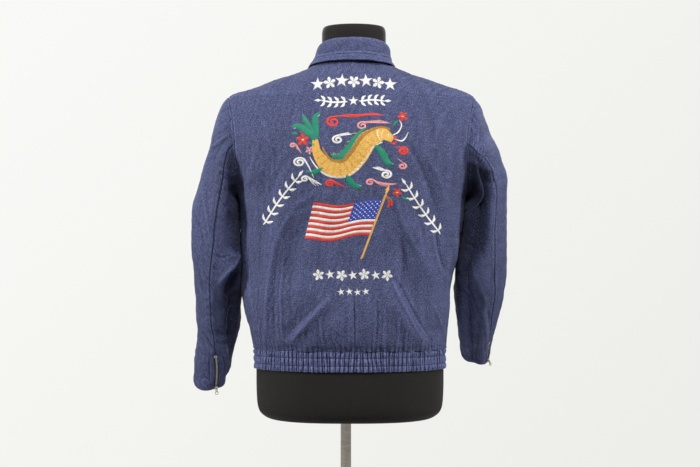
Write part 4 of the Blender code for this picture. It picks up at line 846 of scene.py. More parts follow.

# %% [markdown]
# A mesh is made from all its points and faces in one go, which is much faster than adding them one by
# one. It also stores the place along the cloth, which the weave follows, and how worn each point is,
# together with its painted shading. Each piece rides with the jacket and stands for one solid of the
# frame.

# %% Meshes of cloth
def make_mesh(name, points, faces, marks=None):
    """An object from points in millimetres and faces, with its marks as attributes of the points."""
    points = np.asarray(points, float).reshape(-1, 3) + [JACKET_SHIFT, 0, 0]
    assert np.isfinite(points).all(), name + " has points that aren't numbers"
    sets = faces if isinstance(faces, list) else [faces]
    sets = [np.asarray(group, np.int32).reshape(-1, np.shape(group)[-1]) for group in sets]
    corners = np.concatenate([group.ravel() for group in sets])
    sides = np.concatenate([np.full(len(group), group.shape[1]) for group in sets])
    mesh = bpy.data.meshes.new(name)
    mesh.vertices.add(len(points))
    mesh.vertices.foreach_set("co", (points * MM).astype(np.float32).ravel())
    mesh.loops.add(len(corners))
    mesh.loops.foreach_set("vertex_index", corners)
    mesh.polygons.add(len(sides))
    mesh.polygons.foreach_set("loop_start", (np.cumsum(sides) - sides).astype(np.int32))
    mesh.polygons.foreach_set("use_smooth", np.ones(len(sides), bool))
    mesh.update(calc_edges=True)
    mesh.validate()
    for key, values in (marks or {}).items():
        values = np.asarray(values, np.float32)
        whole = values.size == 3 * len(points)
        kind, field = ("FLOAT_VECTOR", "vector") if whole else ("FLOAT", "value")
        mesh.attributes.new(key, kind, "POINT").data.foreach_set(field, values.ravel())
    thing = bpy.data.objects.new(name, mesh)
    bpy.context.scene.collection.objects.link(thing)
    return thing


def on_jacket(thing, *nodes, slot="indigo_denim"):
    """Rides with the jacket and stands for these frame nodes, which it hides; the slot is not used."""
    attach(thing, BODY)
    if nodes:
        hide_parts(*nodes)
    return thing


def weave_of(grid, middle=0, stretch=1.0):
    """The place along the cloth at each point, in metres, counted from one of its columns."""
    from_row, from_column = runs(grid)
    across = (from_column - from_column[:, [middle]]) * stretch
    return np.stack([across, from_row, 0 * from_row], axis=2) * MM


def cloth_piece(node, grid, normals, wear_and_painted_shading):
    """One cut piece of denim: its outer face with its edges turned under."""
    marks = {"weave": weave_of(grid, grid.shape[1] // 2), "wear_and_painted_shading": wear_and_painted_shading}
    grid, normals, marks = turned(grid, normals, marks)
    faces = grid_faces(*grid.shape[:2])
    if looks_inward(grid, normals):
        faces = faces[..., ::-1]
    piece = on_jacket(make_mesh(node + "_cloth", grid, faces, marks), node)
    print(node, "has", len(piece.data.polygons), "faces")
    return piece


print("cloth helpers ready")

# %% [markdown]
# The three body panels. Their lower edge turns under into the waistband's seam, and their side, shoulder
# and armhole edges turn under against their neighbours. The fronts also turn under beside the zip.

# %% The back and the two fronts
outer_normals = {name: grid_normals(grid, inside_body[name]) for name, grid in bodies.items()}
join_normals(outer_normals)
outsides, panel_objects = {}, {}
for number, (name, grid) in enumerate(bodies.items()):
    from_row, from_column = runs(grid)
    to_row, to_column = from_row[-1] - from_row, from_column[:, -1:] - from_column
    above = smoothstep((grid[..., 2] - 1010) / 20)
    relief = seam_relief(from_column, from_row, 60 + number, 0.45) - 0.4 * bell(from_row, 1.2)
    relief = relief + seam_relief(to_row, from_column, 75 + number, 0.3)
    seam_wear = rubbed(from_column, from_row, 120 + number) * (0.4 + 0.6 * above)
    seam_wear = seam_wear + rubbed(to_row, from_column, 125 + number) * 0.5
    if name == "back":
        relief = relief + seam_relief(to_column, from_row, 70, 0.45)
        seam_wear = seam_wear + rubbed(to_column, from_row, 128) * (0.5 + 0.5 * above)
    outsides[name] = grid + outer_normals[name] * (CLOTH / 2 + relief)[..., None]
    wear_and_painted_shading = ridges(outsides[name], outer_normals[name]) + 1.3 * seam_wear
    panel_objects[name] = cloth_piece(name, outsides[name], outer_normals[name], wear_and_painted_shading)

# %% [markdown]
# A sleeve hangs against the body, and two things follow from that. Its inner side is pressed in and
# swells out again above and below, which the first table says. And its side towards the body lies in
# shade, which is painted into the cloth's colour as painted shade: the second table says where that
# begins, by height in the picture. A real hollow of this kind is also smooth, so the lifts under the arm
# are averaged with their neighbours a few dozen times.

# %% Where the sleeves are pressed in, and where they are painted with shade
# Each row: a turn, three shares of the length, then width and height.
CLOSING = {
    "left": [
        (186, 0.02, 0.12, 0.22, 13, 9.0), (172, 0.50, 0.60, 0.66, 16, 4.0),
        (142, 0.06, 0.26, 0.52, 23, -15.0), (150, 0.58, 0.78, 1.05, 24, -15.0),
    ],
    "right": [
        (190, 0.02, 0.12, 0.22, 12, 9.0), (116, 0.08, 0.24, 0.42, 20, -9.0),
        (146, 0.06, 0.26, 0.60, 24, -19.0), (148, 0.34, 0.56, 0.86, 24, -15.0),
        (150, 0.62, 0.82, 1.05, 22, -10.0),
    ],
}
# Each row: a height in the picture, where the painted shade begins, where it is full, and how strong it is.
SLEEVE_PAINTED_SHADE = {
    "left": [
        (140, 233, 241, 0.8), (165, 213, 245, 0.9), (200, 212, 244, 0.9), (212, 222, 238, 0.9),
        (246, 224, 238, 0.8), (258, 240, 248, 0.2), (272, 230, 237, 0.9), (284, 222, 231, 1.0),
        (302, 218, 229, 1.0), (335, 217, 230, 0.8), (354, 222, 234, 0.3),
    ],
    "right": [
        (141, 461, 454, 0.9), (158, 464, 457, 1.0), (165, 481, 474, 1.0), (172, 495, 488, 1.0),
        (200, 494, 486, 1.0), (245, 491, 481, 0.9), (262, 483, 472, 0.8), (285, 472, 460, 0.7),
        (305, 466, 456, 0.5), (345, 462, 452, 0.4),
    ],
}


def sleeve_painted_shade(side, points, normals):
    """How much painted shade a sleeve gets, 0 to 1, towards the body and in its hollow."""
    table = np.array(SLEEVE_PAINTED_SHADE[side], float)
    places = in_picture(points)
    start, full, share = (np.interp(places[..., 1], table[:, 0], table[:, k]) for k in (1, 2, 3))
    inward = np.clip((places[..., 0] - start) / (full - start), 0, 1)
    return share * inward * smoothstep((0.35 - normals[..., 1]) / 0.5)


def settled_hollow(lift, alongs, turns):
    """The lifts with their sharp steps smoothed away in the hollow under the arm."""
    calm = lift.copy()
    for _ in range(40):
        calm = (np.roll(calm, 1, axis=1) + np.roll(calm, -1, axis=1) + 2 * calm) / 4
        calm[1:-1] = (calm[:-2] + calm[2:] + 2 * calm[1:-1]) / 4
    share = np.outer(smoothstep((0.46 - alongs) / 0.12), smoothstep((turns - 96) / 14))
    share = share * smoothstep((184 - turns) / 16)
    return lift * (1 - share) + calm * share


print("rows for the sleeves' inner sides", {side: len(CLOSING[side] + SLEEVE_PAINTED_SHADE[side]) for side in SIDES})

# %% [markdown]
# The sleeves are closed tubes first, so that creases run across their seams. Each of the two seams sinks
# in, puckers and rubs as the body's do, the sleeve's head puckers more where it is eased into the
# armhole, and the last stretch is doubled by the hem, so it stands a little prouder and ropes slightly.

# %% The sleeves' outer faces
BACK_SEAM_COLUMN, FRONT_SEAM_COLUMN = SLEEVE_TURNS // 4, SLEEVE_TURNS * 7 // 24
CUFF_STITCH = 9.0


def ring_normals(rings):
    around = np.concatenate([rings[:, -2:], rings, rings[:, :2]], axis=1)
    return grid_normals(around, rings.mean(axis=1, keepdims=True))[:, 2:-2]


def lifted_sleeve(side):
    """A sleeve's rings with all their folds and creases, and their normals."""
    rings, alongs, turns = sleeves[side]
    points, normals = rings.reshape(-1, 3), ring_normals(rings)
    all_turns = np.tile(np.degrees(turns), len(alongs))
    all_alongs = np.repeat(alongs, len(turns))
    pressed = [(turn, a, turn, b, turn, c, *size) for turn, a, b, c, *size in CLOSING[side]]
    lift = sleeve_folds(side, all_turns, all_alongs)
    lift += creases(points, normals.reshape(-1, 3), SLEEVE_CREASES[side])
    lift += round_sleeve(all_turns, all_alongs, HIDDEN_SLEEVE_CREASES, (-360, 0))
    lift += round_sleeve(all_turns, all_alongs, pressed, (0,))
    lift = settled_hollow(lift.reshape(rings.shape[:2]), alongs, np.degrees(turns))
    lift += (relief_of_ripples(points) * smoothstep(all_alongs / 0.03)).reshape(lift.shape)
    rings = rings + normals * lift[..., None]
    return rings, ring_normals(rings)


def sleeve_surface(side):
    """A sleeve's outer face as a closed tube, its normals, and how worn it is with its painted shade."""
    rings, normals = lifted_sleeve(side)
    from_row = runs(rings)[0]
    to_hem = from_row[-1:] - from_row
    length_round = np.linalg.norm(rings - np.roll(rings, 1, axis=1), axis=2).mean(axis=1)
    half = SLEEVE_TURNS // 2
    relief, worn = np.zeros(from_row.shape), np.zeros(from_row.shape)
    for seam, seed in ((BACK_SEAM_COLUMN, 81), (-FRONT_SEAM_COLUMN, 83)):
        steps = np.abs((np.arange(SLEEVE_TURNS) - seam + half) % SLEEVE_TURNS - half)
        distance = steps[None, :] * length_round[:, None]
        relief += seam_relief(distance, from_row, seed, 0.7, depth=0.8)
        worn += rubbed(distance, from_row, seed + 50) - 1.5 * bell(distance, 1.0)
    armhole_run = np.cumsum(np.linalg.norm(np.diff(rings[0], axis=0, prepend=rings[0][-1:]), axis=1))
    around_rows = armhole_run[None, :] + 0 * from_row
    relief += seam_relief(from_row, around_rows, 85, 1.3, reach=12)
    worn += rubbed(from_row, around_rows, 136) - 1.5 * bell(from_row, 1.2)
    worn += 0.7 * rubbed(to_hem + 1.5, around_rows, 137)
    doubled = 0.5 * smoothstep((CUFF_STITCH + 1.5 - to_hem) / 2.0)
    stitched = -0.45 * bell(to_hem - CUFF_STITCH, 1.0)
    roping = 0.25 * np.sin(FULL_TURN * armhole_run / 8.5)[None, :] * bell(to_hem - 5, 6)
    relief = relief * smoothstep(to_hem / 3) + doubled + stitched + roping
    # The sleeve's side towards the body is darkened through the same mark: painted shade, not wear.
    worn = 1.2 * worn - 2.6 * sleeve_painted_shade(side, rings, normals)
    return rings + normals * (CLOTH / 2 + relief)[..., None], normals, worn


sleeve_faces = {side: sleeve_surface(side) for side in SIDES}
for side, (rings, _, _) in sleeve_faces.items():
    print(side, "sleeve", round(float(runs(rings)[0][-1].mean())), "mm long")

# %% [markdown]
# Each tube is then split at its back seam and its front seam. At the cuff the back seam opens for a zip,
# so both edges stand back from it. A metal ring sits at the zip's upper end. It is the frame's own solid
# and stays where it is, so the cloth is pressed in under it, and shaded dark in the ring's hole.

# %% Cutting the sleeves
CHAIN_HALF_WIDTH, ZIP_SIDE_GAP = 2.3, 0.5


def seam_opening(grid, alongs):
    """Stands the first column back where the cuff's zip runs."""
    gap = (CHAIN_HALF_WIDTH + ZIP_SIDE_GAP) * smoothstep((alongs - CUFF_ZIP_START) / 0.012)
    reach = np.linalg.norm(grid - grid[:, :1], axis=2)
    shrink = np.clip(1 - reach / 14.0, 0, 1) * gap[:, None]
    return grid + unit(grid[:, 4] - grid[:, 0])[:, None] * shrink[..., None]


def under_eyelet(side, grid, normals):
    """Presses the cloth in under the ring at the cuff zip's upper end, so that the ring lies on it."""
    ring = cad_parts[f"cuff_{side}_eyelet"]
    places = np.array([ring.matrix_world @ corner.co for corner in ring.data.vertices]) / MM
    middle = (places.min(axis=0) + places.max(axis=0)) / 2 - [JACKET_SHIFT, 0, 0]
    away = grid - middle
    distance = np.linalg.norm(away, axis=2)
    outward = normals.reshape(-1, 3)[distance.argmin()]
    over = np.clip(away @ outward + 1.3, 0, None) * smoothstep((11 - distance) / 6)
    hole_shade = 4.0 * np.exp(-((distance / 2.2) ** 4))
    return grid - outward * over[..., None], hole_shade


sleeve_objects = {}
for side in SIDES:
    rings, normals, worn = sleeve_faces[side]
    top = np.arange(BACK_SEAM_COLUMN, -FRONT_SEAM_COLUMN - 1, -1) % SLEEVE_TURNS
    under = np.arange(BACK_SEAM_COLUMN, SLEEVE_TURNS - FRONT_SEAM_COLUMN + 1)
    for part, columns in (("top", top), ("under", under)):
        grid = seam_opening(rings[:, columns], sleeves[side][1])
        grid, hole_shade = under_eyelet(side, grid, normals[:, columns])
        wear_and_painted_shading = ridges(grid, normals[:, columns]) + worn[:, columns] - hole_shade
        name = f"sleeve_{side}_{part}"
        sleeve_objects[name] = cloth_piece(name, grid, normals[:, columns], wear_and_painted_shading)

# %% [markdown]
# Collar and waistband show both their faces, so each is a closed wall. For the collar one helper takes a
# middle surface and its normals, and makes an outer layer, an inner layer and a rounded edge between
# them. Both layers carry the weave, and only the outer one and the edge are rubbed.

# %% A closed wall of two layers
def double_layer(node, middle, normals, half, wear_and_painted_shading):
    """A closed wall of two layers round a middle surface, with rounded edges."""
    rows, columns = middle.shape[:2]
    count = rows * columns
    weave = weave_of(middle)
    outer, inner = middle + normals * half, middle - normals * half
    rim = [(0, j) for j in range(columns)] + [(i, columns - 1) for i in range(1, rows)]
    rim += [(rows - 1, j) for j in range(columns - 2, -1, -1)]
    rim = np.array(rim + [(i, 0) for i in range(rows - 2, 0, -1)])
    within = np.clip(rim, 1, [rows - 2, columns - 2])
    at = middle[rim[:, 0], rim[:, 1]]
    round_edge = at + unit(at - middle[within[:, 0], within[:, 1]]) * half * 0.9
    faces = grid_faces(rows, columns).reshape(-1, 4)
    first, spot = rim @ [columns, 1], 2 * count + np.arange(len(rim))
    next_first, next_spot = np.roll(first, -1), np.roll(spot, -1)
    upper = np.stack([first, spot, next_spot, next_first], axis=1)
    lower = np.stack([spot, first + count, next_first + count, next_spot], axis=1)
    everything = np.vstack([faces, faces[:, ::-1] + count, upper, lower])
    if looks_inward(outer, normals):
        everything = everything[:, ::-1]
    weaves = (weave, weave + [0.5, 0.3, 0.0], weave[rim[:, 0], rim[:, 1]])
    marks = {
        "weave": np.vstack([part.reshape(-1, 3) for part in weaves]),
        "wear_and_painted_shading": np.concatenate([wear_and_painted_shading.ravel(), 0 * wear_and_painted_shading.ravel(), np.full(len(rim), 0.9)]),
    }
    points = np.vstack([part.reshape(-1, 3) for part in (outer, inner, round_edge)])
    return on_jacket(make_mesh(node + "_cloth", points, everything, marks), node)


print("wall helper ready")

# %% [markdown]
# A shirt collar is a stand, a fold and a fall, all one strip here. Seven lines along it give its shape
# from the neck seam over the fold to the edge, and the smooth curve fills in between. The table gives the
# fold's and the edge's place for one half, and the other half mirrors it, a little shifted.

# %% The collar's shape
COLLAR = {
    "share": [0.00, 0.14, 0.28, 0.42, 0.54, 0.66, 0.78, 0.90, 1.00],
    "fold_x": [0, 27, 48, 60.5, 63.8, 61, 50, 30, 9],
    "fold_y": [-67, -62, -46, -22, 4, 30, 53, 70, 79],
    "fold_z": [1534, 1533, 1530, 1525, 1518, 1507, 1490, 1468, 1455],
    "edge_x": [0, 33, 59, 73, 79, 83, 81, 66, 50],
    "edge_y": [-80, -76, -58, -29, 6, 40, 71, 93, 103],
    "edge_z": [1493, 1492, 1490, 1489, 1488, 1474, 1447, 1417, 1394],
}
COLLAR_CLOTH, FOLD_RADIUS, FALL_HOLLOW, COLLAR_SHIFT = 2.2, 3.2, 2.5, 6.5
COLLAR_ROWS, COLLAR_COLUMNS = 76, 261


def neck_seam(places):
    """Points of the neck's seam, from the left front over the back to the right front."""
    fronts, backs = ([neck_columns(side, face, 60) for side in SIDES] for face in ("front", "back"))
    base = np.vstack([
        neckline(fronts[0][::-1], "front"), neckline(backs[0][1:], "back"),
        neckline(backs[1][-2::-1], "back"), neckline(fronts[1][1:], "front"),
    ])
    run = lengths_along(base)
    run = run - run[np.argmin(np.abs(base[:, 0]) + 100 * (base[:, 1] > 0))]
    share = np.where(run < 0, run / -run[0], run / run[-1])
    return np.stack([np.interp(places, share, base[:, k]) for k in range(3)], axis=1)


def collar_middle():
    """The collar's middle surface, rows from the neck seam over the fold to the edge."""
    places = np.linspace(-1, 1, COLLAR_COLUMNS)
    base = neck_seam(places) + [0, 0, 0.6]
    size, sign = np.abs(places), np.sign(places)
    column = {key: curve(size) for key, curve in curves_of(COLLAR, "share").items()}
    fold = np.stack([sign * column["fold_x"], column["fold_y"], column["fold_z"]], axis=1)
    edge = np.stack([sign * column["edge_x"], column["edge_y"], column["edge_z"]], axis=1)
    settle = np.where(size < 0.66, 1.0, np.cos(math.pi / 2 * np.clip((size - 0.66) / 0.34, 0, 1)))
    fold[:, 0] += COLLAR_SHIFT * settle
    edge[:, 0] += COLLAR_SHIFT / 2 * settle
    away = unit((edge - fold) * [1, 1, 0])
    drop = np.array([0.0, 0.0, -FOLD_RADIUS])
    inner = fold - away * FOLD_RADIUS * 0.8 + drop
    outer = fold + away * FOLD_RADIUS + drop
    hollow = outer + (edge - outer) * 0.5 - away * FALL_HOLLOW
    lines = np.array([base, base + (inner - base) * 0.5, inner, fold, outer, hollow, edge])
    spans = np.linalg.norm(np.diff(lines, axis=0), axis=2).mean(axis=1)
    spot = np.concatenate([[0], np.cumsum(spans)])
    return smooth_curve(spot, lines)(np.linspace(0, spot[-1], COLLAR_ROWS)), away


collar_base, collar_away = collar_middle()
print("collar", round(float(runs(collar_base)[0][-1].mean())), "mm from the neck seam to the edge")

# %% [markdown]
# A row of stitches runs 12 mm above the collar's edge. It sinks into the cloth, a low ridge stands above
# it, and the cloth between the stitches and the edge puckers. The edge itself is a little thicker, and
# the rest has a faint unevenness.

# %% The collar's puckers, wear and painted shading
COLLAR_STITCH = 12.0
collar_normals = face_normals(collar_base)
if np.sum(collar_normals[-COLLAR_ROWS // 4] * collar_away) < 0:
    collar_normals = -collar_normals
from_neck, along_collar = runs(collar_base)
to_edge = from_neck[-1:] - from_neck
pucker = np.sin(FULL_TURN * along_collar / 7.5 + 2.0 * ripple(along_collar, to_edge, 45, seed=91))
pucker *= 0.62 * (0.6 + 0.5 * ripple(along_collar, 0, 30, seed=92))
collar_lift = pucker * bell(to_edge - 6, 7) * smoothstep(to_edge / 2)
collar_lift -= 0.9 * bell(to_edge - COLLAR_STITCH, 1.5)
collar_lift += 0.5 * bell(to_edge - COLLAR_STITCH - 3.6, 1.8)
collar_lift += 0.3 * ripple(along_collar, to_edge, 38, seed=93) * smoothstep(from_neck / 30)
collar_lift += 0.4 * bell(to_edge - 2.4, 1.6)
collar_surface = collar_base + collar_normals * collar_lift[..., None]
collar_normals_fine = face_normals(collar_surface)
if np.sum(collar_normals_fine * collar_normals) < 0:
    collar_normals_fine = -collar_normals_fine
collar_wear_and_painted_shading = ridges(collar_surface, collar_normals_fine)
collar_wear_and_painted_shading += 0.8 * rubbed(np.abs(to_edge - COLLAR_STITCH) + 0.6, along_collar, 94)
collar_wear_and_painted_shading += 0.7 * rubbed(to_edge + 1.2, along_collar, 95)
collar_object = double_layer("collar", collar_surface, collar_normals_fine, COLLAR_CLOTH / 2, collar_wear_and_painted_shading)
print("collar edge", round(float(along_collar[-1, -1])), "mm round")

# %% [markdown]
# The waistband is swept round the hips: one closed cross-section that goes up the outside, over the top,
# down the inside and round the hem. The outside bulges between the stitch rows and stands in gathers.
# Sweeping a closed section gives it real thickness with no open edge anywhere.

# %% The waistband's shape
BAND_STITCHES = (941.7, 956.0)
BAND_CLEARANCE, EDGE_ROUNDING = 0.8, 0.9
BAND_UP = np.concatenate([
    np.linspace(HEM_Z + EDGE_ROUNDING, BAND_STITCHES[0], 14)[:-1],
    np.linspace(BAND_STITCHES[0], BAND_STITCHES[1], 18)[:-1],
    np.linspace(BAND_STITCHES[1], BAND_TOP_Z - EDGE_ROUNDING, 15),
])[:, None]
BAND_DOWN = np.array([BAND_TOP_Z - EDGE_ROUNDING, 960.0, 950.0, 940.0, HEM_Z + EDGE_ROUNDING])[:, None]
SEAM_SHARE = 0.0013
# The torso's half-width and depth at the band, which the hips' stand for there.
TORSO_SIDE, TORSO_DEPTH = 176.0, 107.0


def band_point(share, z, lift):
    base = ring_point(share, z) * [HIP_SIDE / TORSO_SIDE, HIP_DEPTH / TORSO_DEPTH, 1.0]
    slope = base / [TORSO_SIDE**2, TORSO_DEPTH**2, np.inf]
    return base + unit(slope) * lift[..., None]


def band_outside(shares, z):
    """How far the band's outside stands out, with its puffs between the stitch rows and its gathers."""
    low, high = BAND_STITCHES
    channel = np.where(z < low, (z - HEM_Z) / (low - HEM_Z), (z - low) / (high - low))
    channel = np.where(z > high, (z - high) / (BAND_TOP_Z - high), channel)
    channel = np.clip(channel, 0, 1)
    open_low = np.where(z < low, 0.65 + 0.35 * channel, 0)
    puff = np.maximum(np.sin(math.pi * channel) ** 0.7, open_low * (1 - channel**3))
    flat_tab = smoothstep((np.abs(shares) - tab_share(FRONT_TAB)) / 0.03)
    height = 0.95 + 0.5 * puff + gathers(shares, z) * (1.3 + 2.2 * puff)
    return height * (1 - flat_tab) + flat_tab * (1.9 + 0.35 * puff)


print("rows up the band's outside", len(BAND_UP))

# %% [markdown]
# The band is built in three lengths: one from side seam to side seam behind, and one on each side from
# the seam to the zip. The rows go round the section by the hem, the outside, the top and the inside, and
# a fan of triangles closes both ends, so each length is a closed wall.

# %% Building the waistband
def band_section(start, end, count):
    """Rows of points round the band's cross-section, and how many of them show outside."""
    shares = np.linspace(start, end, count)[None, :]
    z = BAND_UP + 0 * shares
    outside = BAND_CLEARANCE + band_outside(shares + 0 * z, z)
    face = band_point(shares + 0 * z, z, outside)
    down_z = BAND_DOWN + 0 * shares
    inside = band_point(shares + 0 * down_z, down_z, BAND_CLEARANCE + 0 * down_z)
    low_z = HEM_Z + 0.7 - 1.7 * gathers(shares, HEM_Z + 0 * shares)
    rise = 0.5 * (outside - BAND_CLEARANCE)
    top = band_point(shares, BAND_TOP_Z - 0.45 + 0 * shares, BAND_CLEARANCE + 0.35 + rise[-1:])
    low = band_point(shares, low_z, BAND_CLEARANCE + rise[:1])
    return np.concatenate([low, face, top, inside]), len(face) + 2


def build_band(side, start, end, count):
    section, shown = band_section(start, end, count)
    rows, columns = section.shape[:2]
    smooth_face = section[:shown]
    normals = face_normals(smooth_face)
    if np.sum(normals[:, :, :2] * smooth_face[:, :, :2]) < 0:
        normals = -normals
    wear_and_painted_shading = np.zeros((rows, columns))
    wear_and_painted_shading[:shown] = ridges(smooth_face, normals, spread=1) * 1.2
    for row in BAND_STITCHES:
        wear_and_painted_shading[:shown] -= 0.5 * bell(smooth_face[..., 2] - row, 0.9)
    wear_and_painted_shading[0] = 0.8
    faces = grid_faces(rows + 1, columns).reshape(-1, 4) % (rows * columns)
    ends = section[:, [0, -1]].mean(axis=0)
    around = np.arange(rows) * columns
    start_fan = np.column_stack([np.roll(around, -1), around, np.full(rows, rows * columns)])
    end_fan = np.column_stack([around, np.roll(around, -1), np.full(rows, rows * columns + 1)])
    end_fan[:, :2] += columns - 1
    fans = np.vstack([start_fan, end_fan])
    corner = section[21, 10]
    if np.cross(section[21, 11] - corner, section[22, 10] - corner) @ (corner * [1, 1, 0]) < 0:
        faces, fans = faces[:, ::-1], fans[:, ::-1]
    marks = {
        "weave": np.vstack([weave_of(section, stretch=1.5).reshape(-1, 3), np.zeros((2, 3))]),
        "wear_and_painted_shading": np.concatenate([wear_and_painted_shading.ravel(), [0, 0]]),
    }
    points = np.vstack([section.reshape(-1, 3), ends])
    node = f"waistband_{side}"
    return on_jacket(make_mesh(node + "_cloth", points, [faces, fans], marks), node)


band_objects = [
    build_band("back", LEFT_SEAM + SEAM_SHARE, RIGHT_SEAM - SEAM_SHARE, 620),
    build_band("left", LEFT_SEAM - SEAM_SHARE, -tab_share(ZIP_HALF_GAP), 330),
    build_band("right", RIGHT_SEAM + SEAM_SHARE, tab_share(ZIP_HALF_GAP), 270),
]
print("waistband faces", [len(band.data.polygons) for band in band_objects])

# %% [markdown]
# The dress form is a padded torso under black jersey: smooth, with a neck and no limbs. Its sections come
# from a table as the jacket's do. Two shallow seams run down the back and two down the front, where the
# cover's panels are sewn. Above the jacket only the neck shows, with its rounded rim and flat top.

# %% The dress form
FORM = {
    "z": [836, 838, 843, 852, 862, 875, 905, 975, 1010, 1060, 1110, 1160, 1210, 1260, 1310, 1350,
          1390, 1415, 1430, 1441, 1452, 1462, 1471, 1477],
    "side": [136, 147, 158, 167, 170.5, 172, 173, 173, 166, 152, 145, 147, 153, 160, 169, 177,
             184, 188, 190, 190, 190, 190, 190, 78],
    "back": [78, 86, 93, 99, 101.5, 103, 104, 104, 100, 94, 90, 92, 97, 102, 104, 102,
             97, 91, 88, 86, 83, 79, 72, 58],
    "front": [78, 86, 93, 99, 101.5, 103, 104, 104, 101, 97, 96, 100, 105, 108, 107, 99,
              88, 76, 69, 62, 55, 49, 41, 30],
}
FORM_CLEARANCE, FORM_SEAM = 2.05, 0.8
CHEST_BACK, CHEST_FRONT = 117.0, 125.0
NECK_RADIUS, NECK_DEPTH, NECK_OFFSET = 59.0, 57.0, 7.2
NECK_PROFILE = {
    "t": [0, 1, 2, 3, 4, 5, 6, 7],
    "z": [1440, 1500, 1546, 1553.5, 1558, 1560.2, 1561.4, 1562],
    "size": [1, 1, 1, 0.988, 0.96, 0.92, 0.84, 0.6],
}
form_curves, neck_curves = curves_of(FORM, "z"), curves_of(NECK_PROFILE, "t")


def form_section(z, shares):
    row = {key: float(curve(z)) for key, curve in form_curves.items()}
    points = ring_point(shares, UNDERARM_Z)
    side, room = half_width(shares, UNDERARM_Z), half_width(shares, z + FORM_CLEARANCE)
    width = np.minimum(row["side"], room if z > TIP_Z else 1e3)
    deep = np.where(points[:, 1] < 0, row["back"] / CHEST_BACK, row["front"] / CHEST_FRONT)
    return np.stack([points[:, 0] / side * width, points[:, 1] * deep, 0 * shares + z], axis=1)


def solid_of_rings(name, rings):
    """A closed solid through rings of points, with a fan at each end."""
    count, columns = rings.shape[:2]
    faces = grid_faces(count, columns, closed=True).reshape(-1, 4)
    ends = np.array([rings[0].mean(axis=0), rings[-1].mean(axis=0)])
    points = np.vstack([rings.reshape(-1, 3), ends])
    j = np.arange(columns)
    k = (j + 1) % columns
    low = np.stack([k, j, 0 * j + count * columns], axis=1)
    base = (count - 1) * columns
    high = np.stack([base + j, base + k, 0 * j + count * columns + 1], axis=1)
    return make_mesh(name, points, [faces, np.vstack([low, high])])


form_shares = np.linspace(-2, 2, 224, endpoint=False)
form_heights = np.concatenate([
    np.linspace(836, 862, 20)[:-1], np.linspace(862, 980, 26)[:-1], np.linspace(980, 1477, 80),
])
form_rings = np.array([form_section(z, form_shares) for z in form_heights])
outward = unit((form_rings - form_rings.mean(axis=1, keepdims=True)) * [1, 1, 0])
for seam in (-0.31, 0.37, -1.6, 1.6):
    gap = np.abs(form_shares - seam) * 190.0
    form_rings -= outward * (FORM_SEAM * bell(gap, 1.6))[None, :, None]
form_rings = np.concatenate([form_rings[:1] * [0.9, 0.9, 1], form_rings])
form_object = on_jacket(solid_of_rings("form_torso", form_rings), "dress_form", slot="black_cover")
neck_turns = FULL_TURN * np.arange(120) / 120
neck_rings = []
for t in np.linspace(0, 7, 40):
    size, z = float(neck_curves["size"](t)), float(neck_curves["z"](t))
    x = NECK_OFFSET + NECK_RADIUS * size * np.cos(neck_turns)
    neck_rings.append(np.stack([x, NECK_DEPTH * size * np.sin(neck_turns), 0 * x + z], axis=1))
neck_object = on_jacket(solid_of_rings("form_neck", np.array(neck_rings)), slot="black_cover")
print("form faces", len(form_object.data.polygons) + len(neck_object.data.polygons))

# %% [markdown]
# A metal zip is two rows of small teeth that lock between each other on two woven tapes. Each tooth here
# is a bar with a sloped crown, alternately from the left and the right. The sliders, pulls and rings are
# the frame's own solids, because their shapes are right, and only get a finish.

# %% Zip teeth and tapes
TOOTH_PITCH = 1.25
TOOTH_BOX = np.array([
    (-1, -1, 0), (1, -1, 0), (1, 1, 0), (-1, 1, 0), (-0.92, -0.8, 1), (0.92, -0.8, 1),
    (0.92, 0.8, 1), (-0.92, 0.8, 1),
])
TOOTH_FACES = np.array([
    (3, 2, 1, 0), (4, 5, 6, 7), (0, 1, 5, 4), (1, 2, 6, 5), (2, 3, 7, 6), (3, 0, 4, 7),
])
TOOTH_SIZE, TOOTH_OFFSET, TOOTH_SINK = np.array([1.2, 0.42, 1.35]), 0.6, 0.75
TAPE_ACROSS = np.array([-6.5, -2.6, -2.2, 2.2, 2.6, 6.5])
TAPE_HEIGHTS = np.array([-1.5, -1.1, -0.75, -0.75, -1.1, -1.5])
# A cuff zip's tape runs up behind the ring, and its teeth start this far below the tape's upper end.
CUFF_BARE = {"left": 10.5, "right": 7.0}


def resample(line, step):
    """Points at even steps along a line, and the values of other columns with them."""
    lengths = lengths_along(line[:, :3])
    places = np.arange(step / 2, lengths[-1], step)
    return np.stack([np.interp(places, lengths, line[:, k]) for k in range(line.shape[1])], axis=1)


def directions(line, normals):
    """At each point of a line on the cloth: the ways along it, across it and off the cloth."""
    run, out = unit(np.gradient(line, axis=0)), unit(normals)
    return run, unit(np.cross(run, out)), out


